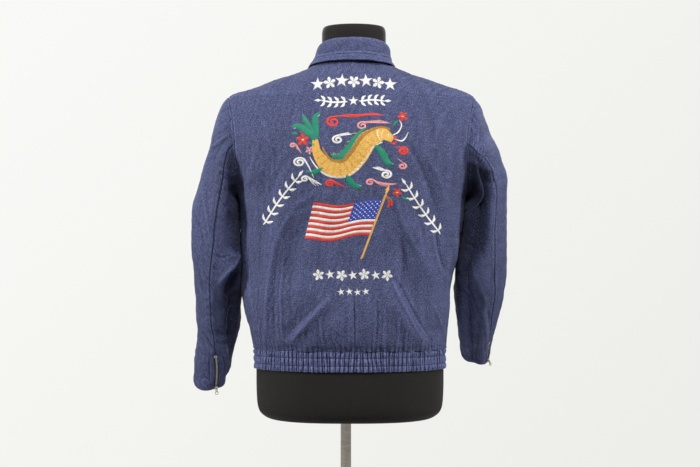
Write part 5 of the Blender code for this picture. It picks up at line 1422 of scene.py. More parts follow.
def zip_chain(name, middle, outward, bare=0.0):
    """Teeth along the middle line after a bare length, and the two tapes under all of it."""
    spots = resample(np.hstack([middle, outward]), TOOTH_PITCH)[round(bare / TOOTH_PITCH):]
    place = spots[:, :3]
    run, across, out = directions(place, spots[:, 3:])
    side = np.where(np.arange(len(place)) % 2, 1.0, -1.0)[:, None]
    low = place + across * side * TOOTH_OFFSET - out * TOOTH_SINK
    box = TOOTH_BOX * TOOTH_SIZE
    points = low[:, None]
    for k, way in enumerate((across, run, out)):
        points = points + way[:, None] * box[None, :, k:k + 1]
    faces = TOOTH_FACES[None] + 8 * np.arange(len(place))[:, None, None]
    teeth = make_mesh(name + "_teeth", points, faces)
    teeth.data.shade_flat()
    on_jacket(teeth, name, slot="zip_metal")
    across = directions(middle, outward)[1]
    grid = middle[:, None] + across[:, None] * TAPE_ACROSS[None, :, None]
    grid = grid + outward[:, None] * TAPE_HEIGHTS[None, :, None]
    faces = grid_faces(*grid.shape[:2])
    tape = on_jacket(make_mesh(name + "_tape", grid, faces, {"weave": weave_of(grid)}))
    return teeth, tape


zip_heights = np.concatenate([np.linspace(HEM_Z + 0.5, BAND_TOP_Z, 8), np.linspace(974, NECK_FRONT_Z, 60)])
zip_depth = np.where(zip_heights <= BAND_TOP_Z, HIP_DEPTH + 1.6, torso["front"](zip_heights))
front_middle = np.stack([0 * zip_heights, zip_depth, zip_heights], axis=1)
front_run = unit(np.gradient(front_middle, axis=0))
front_out = unit(np.cross(front_run, [[-1.0, 0, 0]]))
front_out = np.where(front_out[:, 1:2] < 0, -front_out, front_out)
zip_pieces = list(zip_chain("front_zip", front_middle, front_out))


def plain_seam(side):
    """The cuff zip's line: the back seam before creases, with the frame's folds alone."""
    rings, alongs, turns = sleeves[side]
    normals = ring_normals(rings)
    all_turns = np.tile(np.degrees(turns), len(alongs))
    lift = sleeve_folds(side, all_turns, np.repeat(alongs, len(turns))).reshape(rings.shape[:2])
    rings = rings + normals * lift[..., None]
    rows = alongs > CUFF_ZIP_START - 0.004
    return rings[rows, BACK_SEAM_COLUMN], ring_normals(rings)[rows, BACK_SEAM_COLUMN]


for side in SIDES:
    line, out = plain_seam(side)
    zip_pieces += zip_chain(f"cuff_{side}_zip", line, unit(out), CUFF_BARE[side])
print("zip pieces", [piece.name for piece in zip_pieces])

# %% [markdown]
# Topstitching is a row of short capsules of thread, each pressed a little into the cloth at its ends. One
# helper lays them along any line on the cloth. The waistband's rows are dark, the other rows are the
# colour of the cloth, and all of them are thicker than real thread by a hair so that they read.

# %% Rows of stitches
STITCH, STITCH_GAP, THREAD_RADIUS = 2.5, 0.8, 0.3
CAPSULE_SIDES = 6
CAPSULE_ALONG = np.array([-1.0, -0.82, -0.3, 0.3, 0.82, 1.0])
CAPSULE_ROUND = np.array([0.15, 0.75, 1.0, 1.0, 0.75, 0.15])
CAPSULE_LIFT = np.array([-0.5, 0.1, 0.55, 0.55, 0.1, -0.5])
CAPSULE_FACES = (len(CAPSULE_ALONG) - 1) * CAPSULE_SIDES


def stitch_row(line, normals, length=STITCH, radius=THREAD_RADIUS, gap=STITCH_GAP):
    """Points and faces of the stitches along a line on the cloth."""
    spots = resample(np.hstack([line, normals]), length + gap)
    place = spots[:, :3]
    run, across, out = directions(place, spots[:, 3:])
    turns = FULL_TURN * np.arange(CAPSULE_SIDES) / CAPSULE_SIDES
    along = CAPSULE_ALONG * length / 2
    centre = place[:, None] + run[:, None] * along[None, :, None]
    centre = centre + out[:, None] * (CAPSULE_LIFT * radius)[None, :, None]
    spin = across[:, None] * np.cos(turns)[None, :, None] + out[:, None] * np.sin(turns)[None, :, None]
    points = centre[:, :, None] + spin[:, None] * (CAPSULE_ROUND * radius)[None, :, None, None]
    per = len(along) * CAPSULE_SIDES
    tube = grid_faces(len(along), CAPSULE_SIDES, closed=True).reshape(-1, 4)
    faces = tube[None] + per * np.arange(len(place))[:, None, None]
    return points.reshape(-1, 3), faces.reshape(-1, 4)


def stitches(name, rows):
    """One piece made of several rows of stitches."""
    points, faces, start = [], [], 0
    for line, normals, *size in rows:
        more, ring_faces = stitch_row(line, normals, *size)
        points.append(more)
        faces.append(ring_faces + start)
        start += len(more)
    return on_jacket(make_mesh(name, np.vstack(points), np.vstack(faces)))


print("stitch helpers ready")

# %% [markdown]
# Now the rows themselves. Three run along the elastic, one follows the collar's edge, one goes round
# each cuff, one goes up one side of each cuff's zip and down the other in an arch, and one lies beside
# each edge of the front zip. A line is found where the distance from an edge has one value.

# %% Where the stitches run
WELT_WIDTH, FRONT_STITCH, OFF_CLOTH = 10.5, 6.0, 0.1
BAND_THREAD = (3.0, 0.42)


def band_line(z, start, end, count):
    shares = np.linspace(start, end, count)
    z = np.full(count, z)
    line = band_point(shares, z, BAND_CLEARANCE + band_outside(shares, z) + OFF_CLOTH)
    return line, unit(line * [1, 1.6, 0]), *BAND_THREAD


def line_at(grid, normals, distance, reach):
    """The line across a grid where its distance from an edge has one value."""
    both = np.concatenate([grid, normals], axis=2)
    found = []
    for j in range(grid.shape[1]):
        order = np.argsort(distance[:, j])
        found.append([np.interp(reach, distance[order, j], both[order, j, k]) for k in range(6)])
    found = np.array(found)
    return found[:, :3], unit(found[:, 3:])


def at_places(values, rows, columns):
    """Values of a grid between its points, at places given by row and column."""
    low_row = np.minimum(np.floor(rows).astype(int), len(values) - 2)
    low_column = np.floor(columns).astype(int)
    a, b = (rows - low_row)[:, None], (columns - low_column)[:, None]
    near = values[low_row, low_column] * (1 - b) + values[low_row, low_column + 1] * b
    far = values[low_row + 1, low_column] * (1 - b) + values[low_row + 1, low_column + 1] * b
    return near * (1 - a) + far * a


def cuff_welt(side, grid, normals):
    """The arched row of stitches round a cuff's zip."""
    alongs = sleeves[side][1]
    places = np.linspace(CUFF_ZIP_START - 0.022, 0.992, 60)
    arch = np.sqrt(np.clip((places - places[0]) / 0.02, 0, 1))
    ring_length = np.linalg.norm(grid[:, 1] - grid[:, 0], axis=1) * SLEEVE_TURNS
    rows = np.interp(places, alongs, np.arange(len(alongs)))
    shift = arch * WELT_WIDTH / np.interp(places, alongs, ring_length) * SLEEVE_TURNS
    rows = np.concatenate([rows[::-1], rows])
    columns = BACK_SEAM_COLUMN + np.concatenate([-shift[::-1], shift])
    line, out = at_places(grid, rows, columns), unit(at_places(normals, rows, columns))
    return line + out * OFF_CLOTH, out


band_rows = []
for z in (*BAND_STITCHES, BAND_TOP_Z - 1.8):
    band_rows.append(band_line(z, LEFT_SEAM + 0.01, RIGHT_SEAM - 0.01, 2600))
    band_rows.append(band_line(z, LEFT_SEAM - 0.01, -tab_share(8), 1300))
    band_rows.append(band_line(z, RIGHT_SEAM + 0.01, tab_share(8), 1100))

collar_line, collar_out = line_at(collar_surface, collar_normals_fine, to_edge, COLLAR_STITCH)
collar_line = collar_line[5:-5] + collar_out[5:-5] * (COLLAR_CLOTH / 2 + 0.12)

cuff_rows = []
keep = np.roll(np.arange(SLEEVE_TURNS), -BACK_SEAM_COLUMN)[4:-3]
for side, (grid, normals, _) in sleeve_faces.items():
    from_row = runs(grid)[0]
    line, out = line_at(grid, normals, from_row[-1:] - from_row, CUFF_STITCH)
    cuff_rows += [(line[keep] + out[keep] * OFF_CLOTH, out[keep]), cuff_welt(side, grid, normals)]

front_rows = []
for name in ("front_left", "front_right"):
    grid, normals = (part[name].transpose(1, 0, 2) for part in (outsides, outer_normals))
    from_column = runs(outsides[name])[1]
    line, out = line_at(grid, normals, (from_column[:, -1:] - from_column).T, FRONT_STITCH)
    front_rows.append((line[2:-3] + out[2:-3] * OFF_CLOTH, out[2:-3]))

collar_rows = [(collar_line, collar_out[5:-5])]
ALL_ROWS = {"band": band_rows, "collar": collar_rows, "cuff": cuff_rows, "front": front_rows}
stitch_objects = {name: stitches(name + "_stitches", rows) for name, rows in ALL_ROWS.items()}
print("stitches", {key: len(thing.data.polygons) // CAPSULE_FACES for key, thing in stitch_objects.items()})

# %% [markdown]
# Embroidery is thread, so it is built as thread. Every stitch is a narrow ribbon that arches over the
# cloth and dives into it at both ends. Shapes are drawn flat first, in millimetres, x to the picture's
# right and z up. Narrow shapes are filled with stitches straight across, the way satin stitch is done,
# and wide ones with short overlapping stitches along their length.

# %% Shapes filled with stitches
STITCH_PITCH = 0.85


def bend(points, count=40):
    """A smooth line through a few points."""
    points = np.asarray(points, float)
    full = np.vstack([2 * points[0] - points[1], points, 2 * points[-1] - points[-2]])
    line = []
    for place in np.linspace(0, len(points) - 1.0001, count):
        i, t = int(place), place % 1
        a, b, c, d = full[i], full[i + 1], full[i + 2], full[i + 3]
        curved = 2 * a - 5 * b + 4 * c - d + t * (3 * (b - c) + d - a)
        line.append(b + 0.5 * t * (c - a + t * curved))
    return np.array(line), lengths_along(points)[-1]


def heading(angle):
    return np.array([math.cos(angle), math.sin(angle)])


def ways(line):
    """The ways along a flat line and to its left, at each of its points."""
    run = unit(np.gradient(line, axis=0))
    return run, np.stack([-run[:, 1], run[:, 0]], axis=1)


def offset_edges(line, widths):
    """The two edges of a shape with a middle line and a half-width at each of its points."""
    side = ways(line)[1]
    widths = np.asarray(widths, float)
    widths = np.interp(np.linspace(0, 1, len(line)), np.linspace(0, 1, len(widths)), widths)
    return line + side * widths[:, None], line - side * widths[:, None]


def satin(points, widths, slant=0.12, pitch=STITCH_PITCH):
    """Stitches straight across a narrow shape."""
    line, length = bend(points, 60)
    left, right = offset_edges(line, widths)
    count = max(3, int(length / pitch))
    t = np.linspace(0.004, 0.996, count)
    spot = np.linspace(0, 1, len(line))
    lean = slant * 2.0 / max(count, 8)
    start = np.stack([np.interp(np.clip(t - lean, 0, 1), spot, left[:, k]) for k in (0, 1)], axis=1)
    end = np.stack([np.interp(np.clip(t + lean, 0, 1), spot, right[:, k]) for k in (0, 1)], axis=1)
    return np.stack([start, end], axis=1)


def long_and_short(points, widths, length=6.5, pitch=STITCH_PITCH, seed=0):
    """Short overlapping stitches along a wide shape."""
    draw = np.random.default_rng(seed)
    line, total = bend(points, 80)
    left, right = offset_edges(line, widths)
    rows = max(3, int(2 * max(widths) / pitch))
    spot = np.linspace(0, 1, len(line))
    made = []
    for row in range(rows):
        across = (row + 0.5) / rows
        track = left * (1 - across) + right * across
        place = -draw.uniform(0, length) / total
        while place < 1:
            step = length * draw.uniform(0.75, 1.25) / total
            ends = np.clip([place, place + step * 1.12], 0, 1)
            if ends[1] - ends[0] > 1.2 / total:
                made.append([[np.interp(e, spot, track[:, k]) for k in (0, 1)] for e in ends])
            place += step
    return np.array(made)


print("embroidery shapes ready")

# %% [markdown]
# Laying a stitch means finding the cloth under it. A ray goes from behind the wearer to the back, once for
# each of the five steps along a stitch, and gives the place and the cloth's own normal there. The ribbon
# is then lifted off the cloth in the middle and sunk at both ends. Each stitch also stores a tone of its
# own and how far along it a point lies, which the thread's finish uses later.

# %% Laying stitches on the back
STITCH_HEIGHT, SEWN_WIDTH = 0.5, STITCH_PITCH * 1.3
RIBBON_STEPS, RAY_START = 5, -0.4
back_tree = BVHTree.FromObject(panel_objects["back"], bpy.context.evaluated_depsgraph_get())


def lay_stitches(name, stitch_ends, layer, width=SEWN_WIDTH):
    """A piece of embroidery: every stitch a small arched ribbon on the back's cloth."""
    ends = np.concatenate(stitch_ends) if isinstance(stitch_ends, list) else stitch_ends
    t = np.linspace(0, 1, RIBBON_STEPS)[None, :, None]
    flat = ends[:, :1] * (1 - t) + ends[:, 1:] * t
    shape = flat.shape[:2]
    points, normals = np.zeros((*shape, 3)), np.zeros((*shape, 3))
    down = Vector((0, 1, 0))
    for spot in np.ndindex(shape):
        x, z = flat[spot]
        place, normal, _, _ = back_tree.ray_cast(Vector(((x + JACKET_SHIFT) * MM, RAY_START, z * MM)), down)
        points[spot] = np.array(place) / MM - [JACKET_SHIFT, 0, 0]
        normals[spot] = normal
    run = unit(np.gradient(points, axis=1))
    across = unit(np.cross(run, normals))
    arch = np.sin(math.pi * t[..., 0]) ** 0.5
    length = np.linalg.norm(ends[:, 1] - ends[:, 0], axis=1)[:, None]
    tall = layer + 0.12 + arch * STITCH_HEIGHT * np.clip(length / 5.0, 0.5, 1.2)
    narrow = (0.55 + 0.45 * arch) * width / 2
    half = across * narrow[..., None]
    centre = points + normals * tall[..., None]
    low = points + normals * np.maximum(tall - 0.28, 0.02)[..., None]
    ribbon = np.stack([low - half, centre, low + half], axis=2)
    faces = grid_faces(RIBBON_STEPS, 3).reshape(-1, 4)
    faces = faces[None] + 3 * RIBBON_STEPS * np.arange(shape[0])[:, None, None]
    draw = np.random.default_rng(len(ends))
    tone = np.repeat(draw.uniform(0, 1, shape[0]), 3 * RIBBON_STEPS)
    along = np.tile(np.repeat(t[0, :, 0], 3), shape[0])
    thing = make_mesh(name, ribbon, faces, {"tone": tone, "along": along})
    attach(thing, BODY)
    return thing


print("embroidery helpers ready")

# %% [markdown]
# The picture in the middle of the back is a generic one: a leaping golden carp with green fins over
# rolling clouds, blossoms, and below it a striped and starred flag on a pole. Rows of stars, blossoms and
# leaf sprigs frame it. Colours are those of old souvenir embroidery: gold, green, red, white, pink and
# blue. The fish comes first: a bent backbone with a width at each point, its scales as small arcs across
# it, a pale belly and a green back with gold rays.

# %% The carp
CARP_BACKBONE = [
    (76, 1345), (58, 1356), (32, 1345), (13, 1317), (-10, 1296), (-39, 1299), (-58, 1322), (-62, 1346),
]
CARP_WIDTHS = [4, 12, 17, 18, 17, 13.5, 8, 4.5]


gold, green, red, white, pink, blue, cream, dark = [], [], [], [], [], [], [], []
gold.append(long_and_short(CARP_BACKBONE, CARP_WIDTHS, 6.0, seed=1))
body_line, _ = bend(CARP_BACKBONE, 120)
body_run, body_side = ways(body_line)
body_width = np.interp(np.linspace(0, 1, 120), np.linspace(0, 1, len(CARP_WIDTHS)), CARP_WIDTHS)


def beside(shift, start, end, count=30):
    """A line beside the backbone, shift millimetres to its left, between two shares of its length."""
    keep = np.linspace(start * 119, end * 119, count).astype(int)
    return (body_line + body_side * shift)[keep]


def on_carp(place, across, ahead=0.0):
    """A point of the carp: the place along it, the share across it, and millimetres towards the head."""
    return body_line[place] + body_side[place] * body_width[place] * across - body_run[place] * ahead


scales = [long_and_short(beside(-12.5, 0.10, 0.92), [1, 3.4, 3.8, 3.4, 2, 0.8], 5.5, seed=2)]
for row, place in enumerate(range(26, 108, 6)):
    for column in range(-2, 3):
        across = (column + 0.5 * (row % 2)) / 2.7
        if abs(across) < 0.84:
            reach = body_width[place] / 3.3
            arc = [
                on_carp(place, across) + body_side[place] * reach * math.sin(a)
                - body_run[place] * reach * 0.9 * math.cos(a)
                for a in np.linspace(-1.5, 1.5, 7)
            ]
            scales.append(satin(arc, [0.5, 0.8, 0.5], pitch=1.1))
white.append(satin(beside(15.0, 0.14, 0.86), [0.6, 2.6, 3.2, 2.6, 0.6]))
green.append(satin(beside(-20.0, 0.24, 0.80), [0.6, 6.0, 8.0, 6.5, 4.5, 0.6], slant=3.0))
for number in range(9):
    share = 0.28 + number * 0.055
    start = beside(-16.0, share, share, 1)[0]
    tip = beside(-30.0 + number * 0.6, share + 0.045, share + 0.045, 1)[0]
    gold.append(satin([start, tip], [0.5, 0.8, 0.3], pitch=1.0))
print("body stitches", sum(len(part) for part in gold + scales))

# %% [markdown]
# A tail of three lobes and four fins follow, each with a white and a red line inside it, then the gills,
# the eye, the mouth and two whiskers. They are satin stitch, because all of them are narrow.

# %% The carp's fins and face
FINS = [
    ([(-61, 1345), (-74, 1360), (-92, 1371), (-105, 1369)], [3.5, 7.5, 6.0, 0.5]),
    ([(-60, 1347), (-61, 1368), (-62, 1386), (-53, 1396)], [3.5, 7.0, 5.5, 0.5]),
    ([(-61, 1346), (-70, 1366), (-80, 1382), (-85, 1394)], [2.0, 5.0, 4.4, 0.4]),
    ([(44, 1336), (58, 1322), (66, 1306), (80, 1300)], [3.0, 7.5, 6.0, 0.5]),
    ([(-6, 1284), (0, 1272), (12, 1262), (22, 1262)], [2.5, 6.5, 5.0, 0.5]),
    ([(-48, 1296), (-62, 1288), (-78, 1290)], [2.5, 5.5, 0.5]),
]
for line, widths in FINS:
    green.append(satin(line, widths, slant=1.5))
    line = np.array(line, float)
    white.append(satin(line * 0.9 + line[0] * 0.1, [0.4, 1.1, 0.9, 0.3]))
    red.append(satin(line * 0.7 + line[0] * 0.3 + [1.5, -2.5], [0.4, 0.9, 0.7, 0.3]))
gill = [on_carp(20, across, -5 * (1 - across**2)) for across in np.linspace(-0.9, 0.9, 7)]
cream.append(satin(gill, [0.7, 1.7, 0.7]))
cheek = [on_carp(15, across, -4 * (1 - across**2)) for across in np.linspace(-0.7, 0.7, 5)]
cream.append(satin(cheek, [0.5, 1.1, 0.5]))
eye = on_carp(9, -0.25)
cream.append(satin([eye - [3.2, 0], eye + [3.2, 0]], [1.2, 3.0, 1.2], pitch=0.7))
dark.append(satin([eye - [1.7, 0], eye + [1.7, 0]], [1.0, 1.9, 1.0], pitch=0.6))
red.append(satin([(73, 1352), (80, 1350), (83, 1344)], [0.8, 2.8, 0.8]))
red.append(satin([(72, 1340), (78, 1339), (82, 1342)], [0.8, 2.2, 0.8]))
white.append(satin([(76, 1354), (86, 1360), (92, 1372), (88, 1382)], [0.9, 1.4, 1.2, 0.3]))
white.append(satin([(80, 1347), (92, 1344), (99, 1350), (104, 1360)], [0.9, 1.4, 1.2, 0.3]))
print("carp stitches", sum(len(part) for part in gold + green))

# %% [markdown]
# Clouds are spirals of slanted stitches, an old and common motif of this kind of work. A function turns a
# few numbers into a spiral with a tail, so that each cloud can differ a little.

# %% Clouds, waves and blossoms
def spiral(x, z, size, turns, start, way, tail):
    angles = np.linspace(0, FULL_TURN * turns, int(14 * turns) + 4)
    reach = size * (1 - angles / angles[-1] * 0.82)
    line = np.stack([
        x + reach * np.cos(start + way * angles), z + 0.72 * reach * np.sin(start + way * angles),
    ], axis=1)
    return np.vstack([tail, line])


CLOUDS = [
    (red, spiral(-30, 1378, 13, 1.6, 1.2, 1, [(60, 1390), (36, 1394), (12, 1386), (-8, 1391)]), 1.7),
    (pink, spiral(22, 1371, 10.5, 1.5, 0.6, 1, [(72, 1376), (54, 1382)]), 1.4),
    (white, spiral(-22, 1346, 11, 1.6, 0.9, 1, [(4, 1356), (-4, 1360)]), 1.5),
    (red, spiral(94, 1326, 11, 1.6, 1.9, -1, [(80, 1332)]), 1.7),
    (pink, spiral(93, 1299, 9, 1.4, 1.6, -1, [(84, 1312)]), 1.5),
    (white, spiral(64, 1284, 11.5, 1.7, 2.2, -1, [(40, 1296), (50, 1298)]), 1.6),
    (white, spiral(-90, 1306, 12, 1.7, 0.6, 1, [(-64, 1278), (-72, 1296)]), 1.6),
    (white, spiral(-80, 1276, 8, 1.4, 0.2, 1, [(-50, 1266), (-62, 1264)]), 1.4),
    (pink, spiral(36, 1270, 8.5, 1.4, 0.4, 1, [(84, 1268), (66, 1262), (52, 1266)]), 1.5),
    (red, spiral(-36, 1268, 9, 1.5, 0.5, 1, [(-8, 1262), (-20, 1264)]), 1.6),
    (pink, spiral(-102, 1336, 7, 1.3, 5.4, 1, [(-86, 1322)]), 1.3),
]
for colour, line, width in CLOUDS:
    colour.append(satin(line, [0.5, width, width, width, 0.6], slant=2.0, pitch=1.0))


def five_rays(x, z, size, turn, reaches, widths, colour):
    """Five satin shapes that go out from one point, as petals or the arms of a star."""
    for number in range(5):
        way = heading(turn + FULL_TURN * number / 5)
        line = [np.array([x, z]) + way * size * reach for reach in reaches]
        colour.append(satin(line, widths, slant=0.0))


def blossom(x, z, size, petals, middle, turn):
    """Stitches of a blossom with rounded petals and a knotted middle."""
    widths = [0.1 * size, 0.3 * size, 0.34 * size, 0.12 * size]
    five_rays(x, z, size, turn, (0.2, 0.45, 0.75, 1.0), widths, petals)
    knot = [(x - size * 0.16, z), (x + size * 0.16, z)]
    middle.append(satin(knot, [0.12 * size, 0.17 * size, 0.12 * size]))


blossom(-84, 1346, 11.0, red, cream, 0.3)
blossom(-72, 1327, 7.0, pink, cream, 1.0)
blossom(94, 1388, 9.0, red, cream, 0.7)
blossom(84, 1252, 8.0, red, cream, 0.9)
LEAVES = [
    [(-74, 1340), (-66, 1338), (-64, 1332)], [(-92, 1354), (-99, 1358), (-104, 1356)],
    [(78, 1244), (70, 1240), (64, 1242)], [(92, 1246), (98, 1240), (106, 1240)],
    [(86, 1380), (80, 1376), (76, 1369)],
]
for leaf in LEAVES:
    green.append(satin(leaf, [0.4, 2.4, 0.4], slant=1.5))
print("clouds", len(CLOUDS))

# %% [markdown]
# The flag flies from a pole on its right. Each stripe is one satin band whose stitches run across it,
# and the cloth of the flag waves, so the stripes follow one shared curve. The stars are white knots.

# %% The flag
FLAG_WIDTH, FLAG_HEIGHT, STRIPES = 124.0, 67.0, 13
POLE_FOOT, POLE_HEAD = np.array([20.0, 1133.0]), np.array([64.0, 1250.0])
FLAG_TOP_SHARE = 0.90


def flag_point(u, v):
    """A point of the flag: u from the pole to the free end, v from its top to its bottom."""
    along = POLE_HEAD - POLE_FOOT
    top = POLE_FOOT + along * FLAG_TOP_SHARE
    base = top - along / np.linalg.norm(along) * FLAG_HEIGHT * v
    wave = 5.0 * math.sin(2.3 * math.pi * u + 0.5) * u**0.6 - 9.0 * u
    return base + np.array([-FLAG_WIDTH * u * (1 - 0.06 * v), wave - 2.0 * u * v])


def flag_band(v0, v1, u0, u1, count):
    return np.array([[flag_point(u, v0), flag_point(u, v1)] for u in np.linspace(u0, u1, count)])


CANTON_U, CANTON_V = 0.42, 7 / 13
for stripe in range(STRIPES):
    start = CANTON_U if stripe < 7 else 0.012
    count = int(FLAG_WIDTH * (1 - start) / STITCH_PITCH)
    band = flag_band((stripe + 0.02) / STRIPES, (stripe + 0.98) / STRIPES, start, 1.0, count)
    (white if stripe % 2 else red).append(band)
for row in range(5):
    v0, v1 = CANTON_V * row / 5, CANTON_V * (row + 1) / 5
    blue.append(flag_band(v0, v1, 0.012, CANTON_U, int(FLAG_WIDTH * CANTON_U / STITCH_PITCH)))
star_knots = []
for row in range(9):
    for column in range(6 - row % 2):
        u = CANTON_U * (column + 0.5 + 0.5 * (row % 2)) / 6
        x, z = flag_point(u, CANTON_V * (row + 0.9) / 9.8)
        for angle in (0.3, 1.35, 2.4):
            way = heading(angle) * 1.2
            star_knots.append([[x - way[0], z - way[1]], [x + way[0], z + way[1]]])
pole_line = [POLE_FOOT, POLE_FOOT + (POLE_HEAD - POLE_FOOT) * 0.5, POLE_HEAD]
pole_stitches = satin(pole_line, [1.6, 1.9, 1.9], slant=2.0)
POLE_TIP = POLE_HEAD + unit(POLE_HEAD - POLE_FOOT) * 15
gold.append(satin([POLE_HEAD, (POLE_HEAD + POLE_TIP) / 2, POLE_TIP], [1.2, 3.6, 0.3]))
red.append(satin([POLE_HEAD + [1, -4], POLE_HEAD + [9, -12], POLE_HEAD + [10, -22]], [1.4, 2.2, 1.8]))
red.append(satin([POLE_HEAD + [0, -4], POLE_HEAD + [5, -14], POLE_HEAD + [4, -24]], [1.2, 2.0, 1.6]))
print("flag stitches", sum(len(part) for part in blue))

# %% [markdown]
# The rows of small motifs: stars and blossoms above the picture, leaf sprigs on both slants, and a row of
# blossoms with small stars below it. All are white, thick and slightly uneven, as hand-guided machine
# work is.

# %% Stars, sprigs and small blossoms
small = []


def star(x, z, size, turn):
    widths = [0.26 * size, 0.24 * size, 0.2]
    five_rays(x, z, size, turn + math.pi / 2, (0.0, 0.4, 1.0), widths, small)


def sprig(start, end, pairs, leaf):
    """A stem with pairs of leaves and one leaf at its tip."""
    start, end = np.array(start, float), np.array(end, float)
    run = unit(end - start)
    side = np.array([-run[1], run[0]])
    stem = [start, (start + end) / 2 + side * 2.5, end]
    small.append(satin(stem, [1.3, 1.5, 1.0], slant=2.0, pitch=1.0))
    for pair in range(pairs):
        bow = 2.4 * math.sin(math.pi * (pair + 0.5) / pairs)
        root = start + (end - start) * (pair + 0.45) / pairs + side * bow
        for way in (-1, 1):
            tip = root + run * leaf * 0.75 + side * way * leaf
            middle = root + run * leaf * 0.2 + side * way * leaf * 0.6
            small.append(satin([root, middle, tip], [0.7, 2.7, 0.5], slant=1.0))
    small.append(satin([end, end + run * leaf * 0.6, end + run * leaf * 1.2], [0.7, 2.9, 0.4]))


for number, x in enumerate(np.linspace(-58, 72, 7)):
    lift = -6 * ((x - 7) / 65) ** 2 + 1.2 * math.sin(3.7 * number)
    if number % 2:
        blossom(x, 1453 + lift, 10.5, small, small, 0.3 + 0.2 * number)
    else:
        star(x, 1453 + lift, 12.5, 0.1 * math.sin(2.1 * number))
sprig((-4, 1415), (-52, 1417), 4, 9.5)
sprig((16, 1415), (62, 1416), 4, 9.5)
star(6, 1416, 9.0, 0.0)
sprig((-156, 1194), (-92, 1280), 6, 11.5)
sprig((164, 1178), (100, 1266), 6, 11.5)
for number, x in enumerate(np.linspace(-56, 66, 7)):
    if number % 2:
        star(x, 1105 + math.sin(2.0 * number), 8.5, 0.2)
    else:
        blossom(x, 1105 + math.sin(2.0 * number), 9.5, small, small, 0.5 + 0.3 * number)
for number, x in enumerate(np.linspace(-16, 28, 4)):
    star(x, 1075 + 0.8 * math.sin(2.6 * number), 6.5, 0.15)
print("small motifs' stitches", sum(len(part) for part in small))

# %% [markdown]
# The drawn layers are sewn one over the other: the flag's blue field first, then the large fields, and
# the fish's scales, eye and gills on top. Each layer is one colour of thread, so it is one piece, and its
# small height over the cloth keeps it from cutting through the layer below.

# %% Sewing the embroidery
# Each row: the stitches, how high they lie over the cloth, and their width where it isn't the usual one.
LAYERS = {
    "blue": (blue, 0.0), "red": (red, 0.05), "white": (white, 0.08), "gold": (gold, 0.15),
    "green": (green, 0.25), "pink": (pink, 0.1), "cream": (cream, 0.6), "ochre": (scales, 0.5, 0.8),
    "pole": (pole_stitches, 0.35), "knots": (np.array(star_knots), 0.45, 1.0), "dark": (dark, 0.8),
    "small": (small, 0.05),
}
embroidery = {name: lay_stitches("embroidery_" + name, *layer) for name, layer in LAYERS.items()}
print("embroidery faces", sum(len(thing.data.polygons) for thing in embroidery.values()))

# %% [markdown]
# Every finish below is a small tree of shader nodes: noises and waves, mixed into a colour, a roughness
# and a bump. Written out in full, such a tree is long and hard to read. This kit gives each kind of node
# one short call, so that a finish reads like its description.

# %% A small kit for materials
class Kit:
    """A node tree, with a short call for each kind of node that the finishes use."""

    def __init__(self, tree):
        self.nodes, self.links = tree.nodes, tree.links

    def feed(self, socket, value):
        """Gives a socket a number, a colour or the output of another node."""
        if isinstance(value, bpy.types.NodeSocket):
            self.links.new(value, socket)
        else:
            socket.default_value = (*value, 1.0) if isinstance(value, tuple) else value

    def node(self, kind, inputs=None, **settings):
        made = self.nodes.new("ShaderNode" + kind)
        for key, value in settings.items():
            setattr(made, key, value)
        for key, value in (inputs or {}).items():
            self.feed(made.inputs[key], value)
        return made

    def mark(self, name, output="Fac"):
        """What a mesh stores at its points under this name."""
        return self.node("Attribute", attribute_name=name).outputs[output]

    def place(self):
        return self.node("TexCoord").outputs["Object"]

    def parts(self, vector):
        return self.node("SeparateXYZ", {0: vector}).outputs

    def maths(self, operation, first, second=0.5):
        return self.node("Math", {0: first, 1: second}, operation=operation).outputs[0]

    def mixed(self, share, first, second, kind="MIX"):
        """A mix of two colours, each a tuple or a socket."""
        made = self.node("Mix", {0: share}, data_type="RGBA", blend_type=kind)
        self.feed(made.inputs[6], first)
        self.feed(made.inputs[7], second)
        return made.outputs[2]

    def tinted(self, colour, share):
        """A colour made lighter or darker by a number at each point."""
        grey = self.node("CombineColor", {0: share, 1: share, 2: share}).outputs[0]
        return self.mixed(1.0, colour, grey, "MULTIPLY")

    def noise(self, source, scale, detail=2.0, rough=0.5):
        inputs = {"Vector": source, "Scale": scale, "Detail": detail, "Roughness": rough}
        return self.node("TexNoise", inputs).outputs["Fac"]

    def stretched_noise(self, source, scale, size=1.0, detail=2.0, rough=0.5):
        mapping = self.node("Mapping", {"Vector": source})
        mapping.inputs["Scale"].default_value = scale
        return self.noise(mapping.outputs[0], size, detail, rough)

    def ranged(self, value, low, high, to_low=0.0, to_high=1.0):
        numbers = {"Value": value, "From Min": low, "From Max": high, "To Min": to_low, "To Max": to_high}
        return self.node("MapRange", numbers).outputs[0]

    def ribs(self, vector, slant, pitch):
        """Slanting ribs from 0 to 1 over the cloth, one for each pitch."""
        across, down = self.parts(vector)[:2]
        run = self.maths("ADD", across, self.maths("MULTIPLY", down, slant))
        return self.ranged(self.maths("SINE", self.maths("MULTIPLY", run, FULL_TURN / pitch)), -1, 1)

    def bump(self, height, strength, distance, before=None):
        made = self.node("Bump", {"Height": height, "Strength": strength, "Distance": distance})
        if before is not None:
            self.links.new(before, made.inputs["Normal"])
        return made.outputs["Normal"]

    def surface(self, inputs):
        for key, value in inputs.items():
            self.feed(self.nodes["Principled BSDF"].inputs[key], value)


def new_material(name):
    made = bpy.data.materials.new(name)
    made.use_nodes = True
    return made, Kit(made.node_tree)


def dress(things, finish):
    for thing in things:
        thing.data.materials.append(finish)


print("material kit ready")

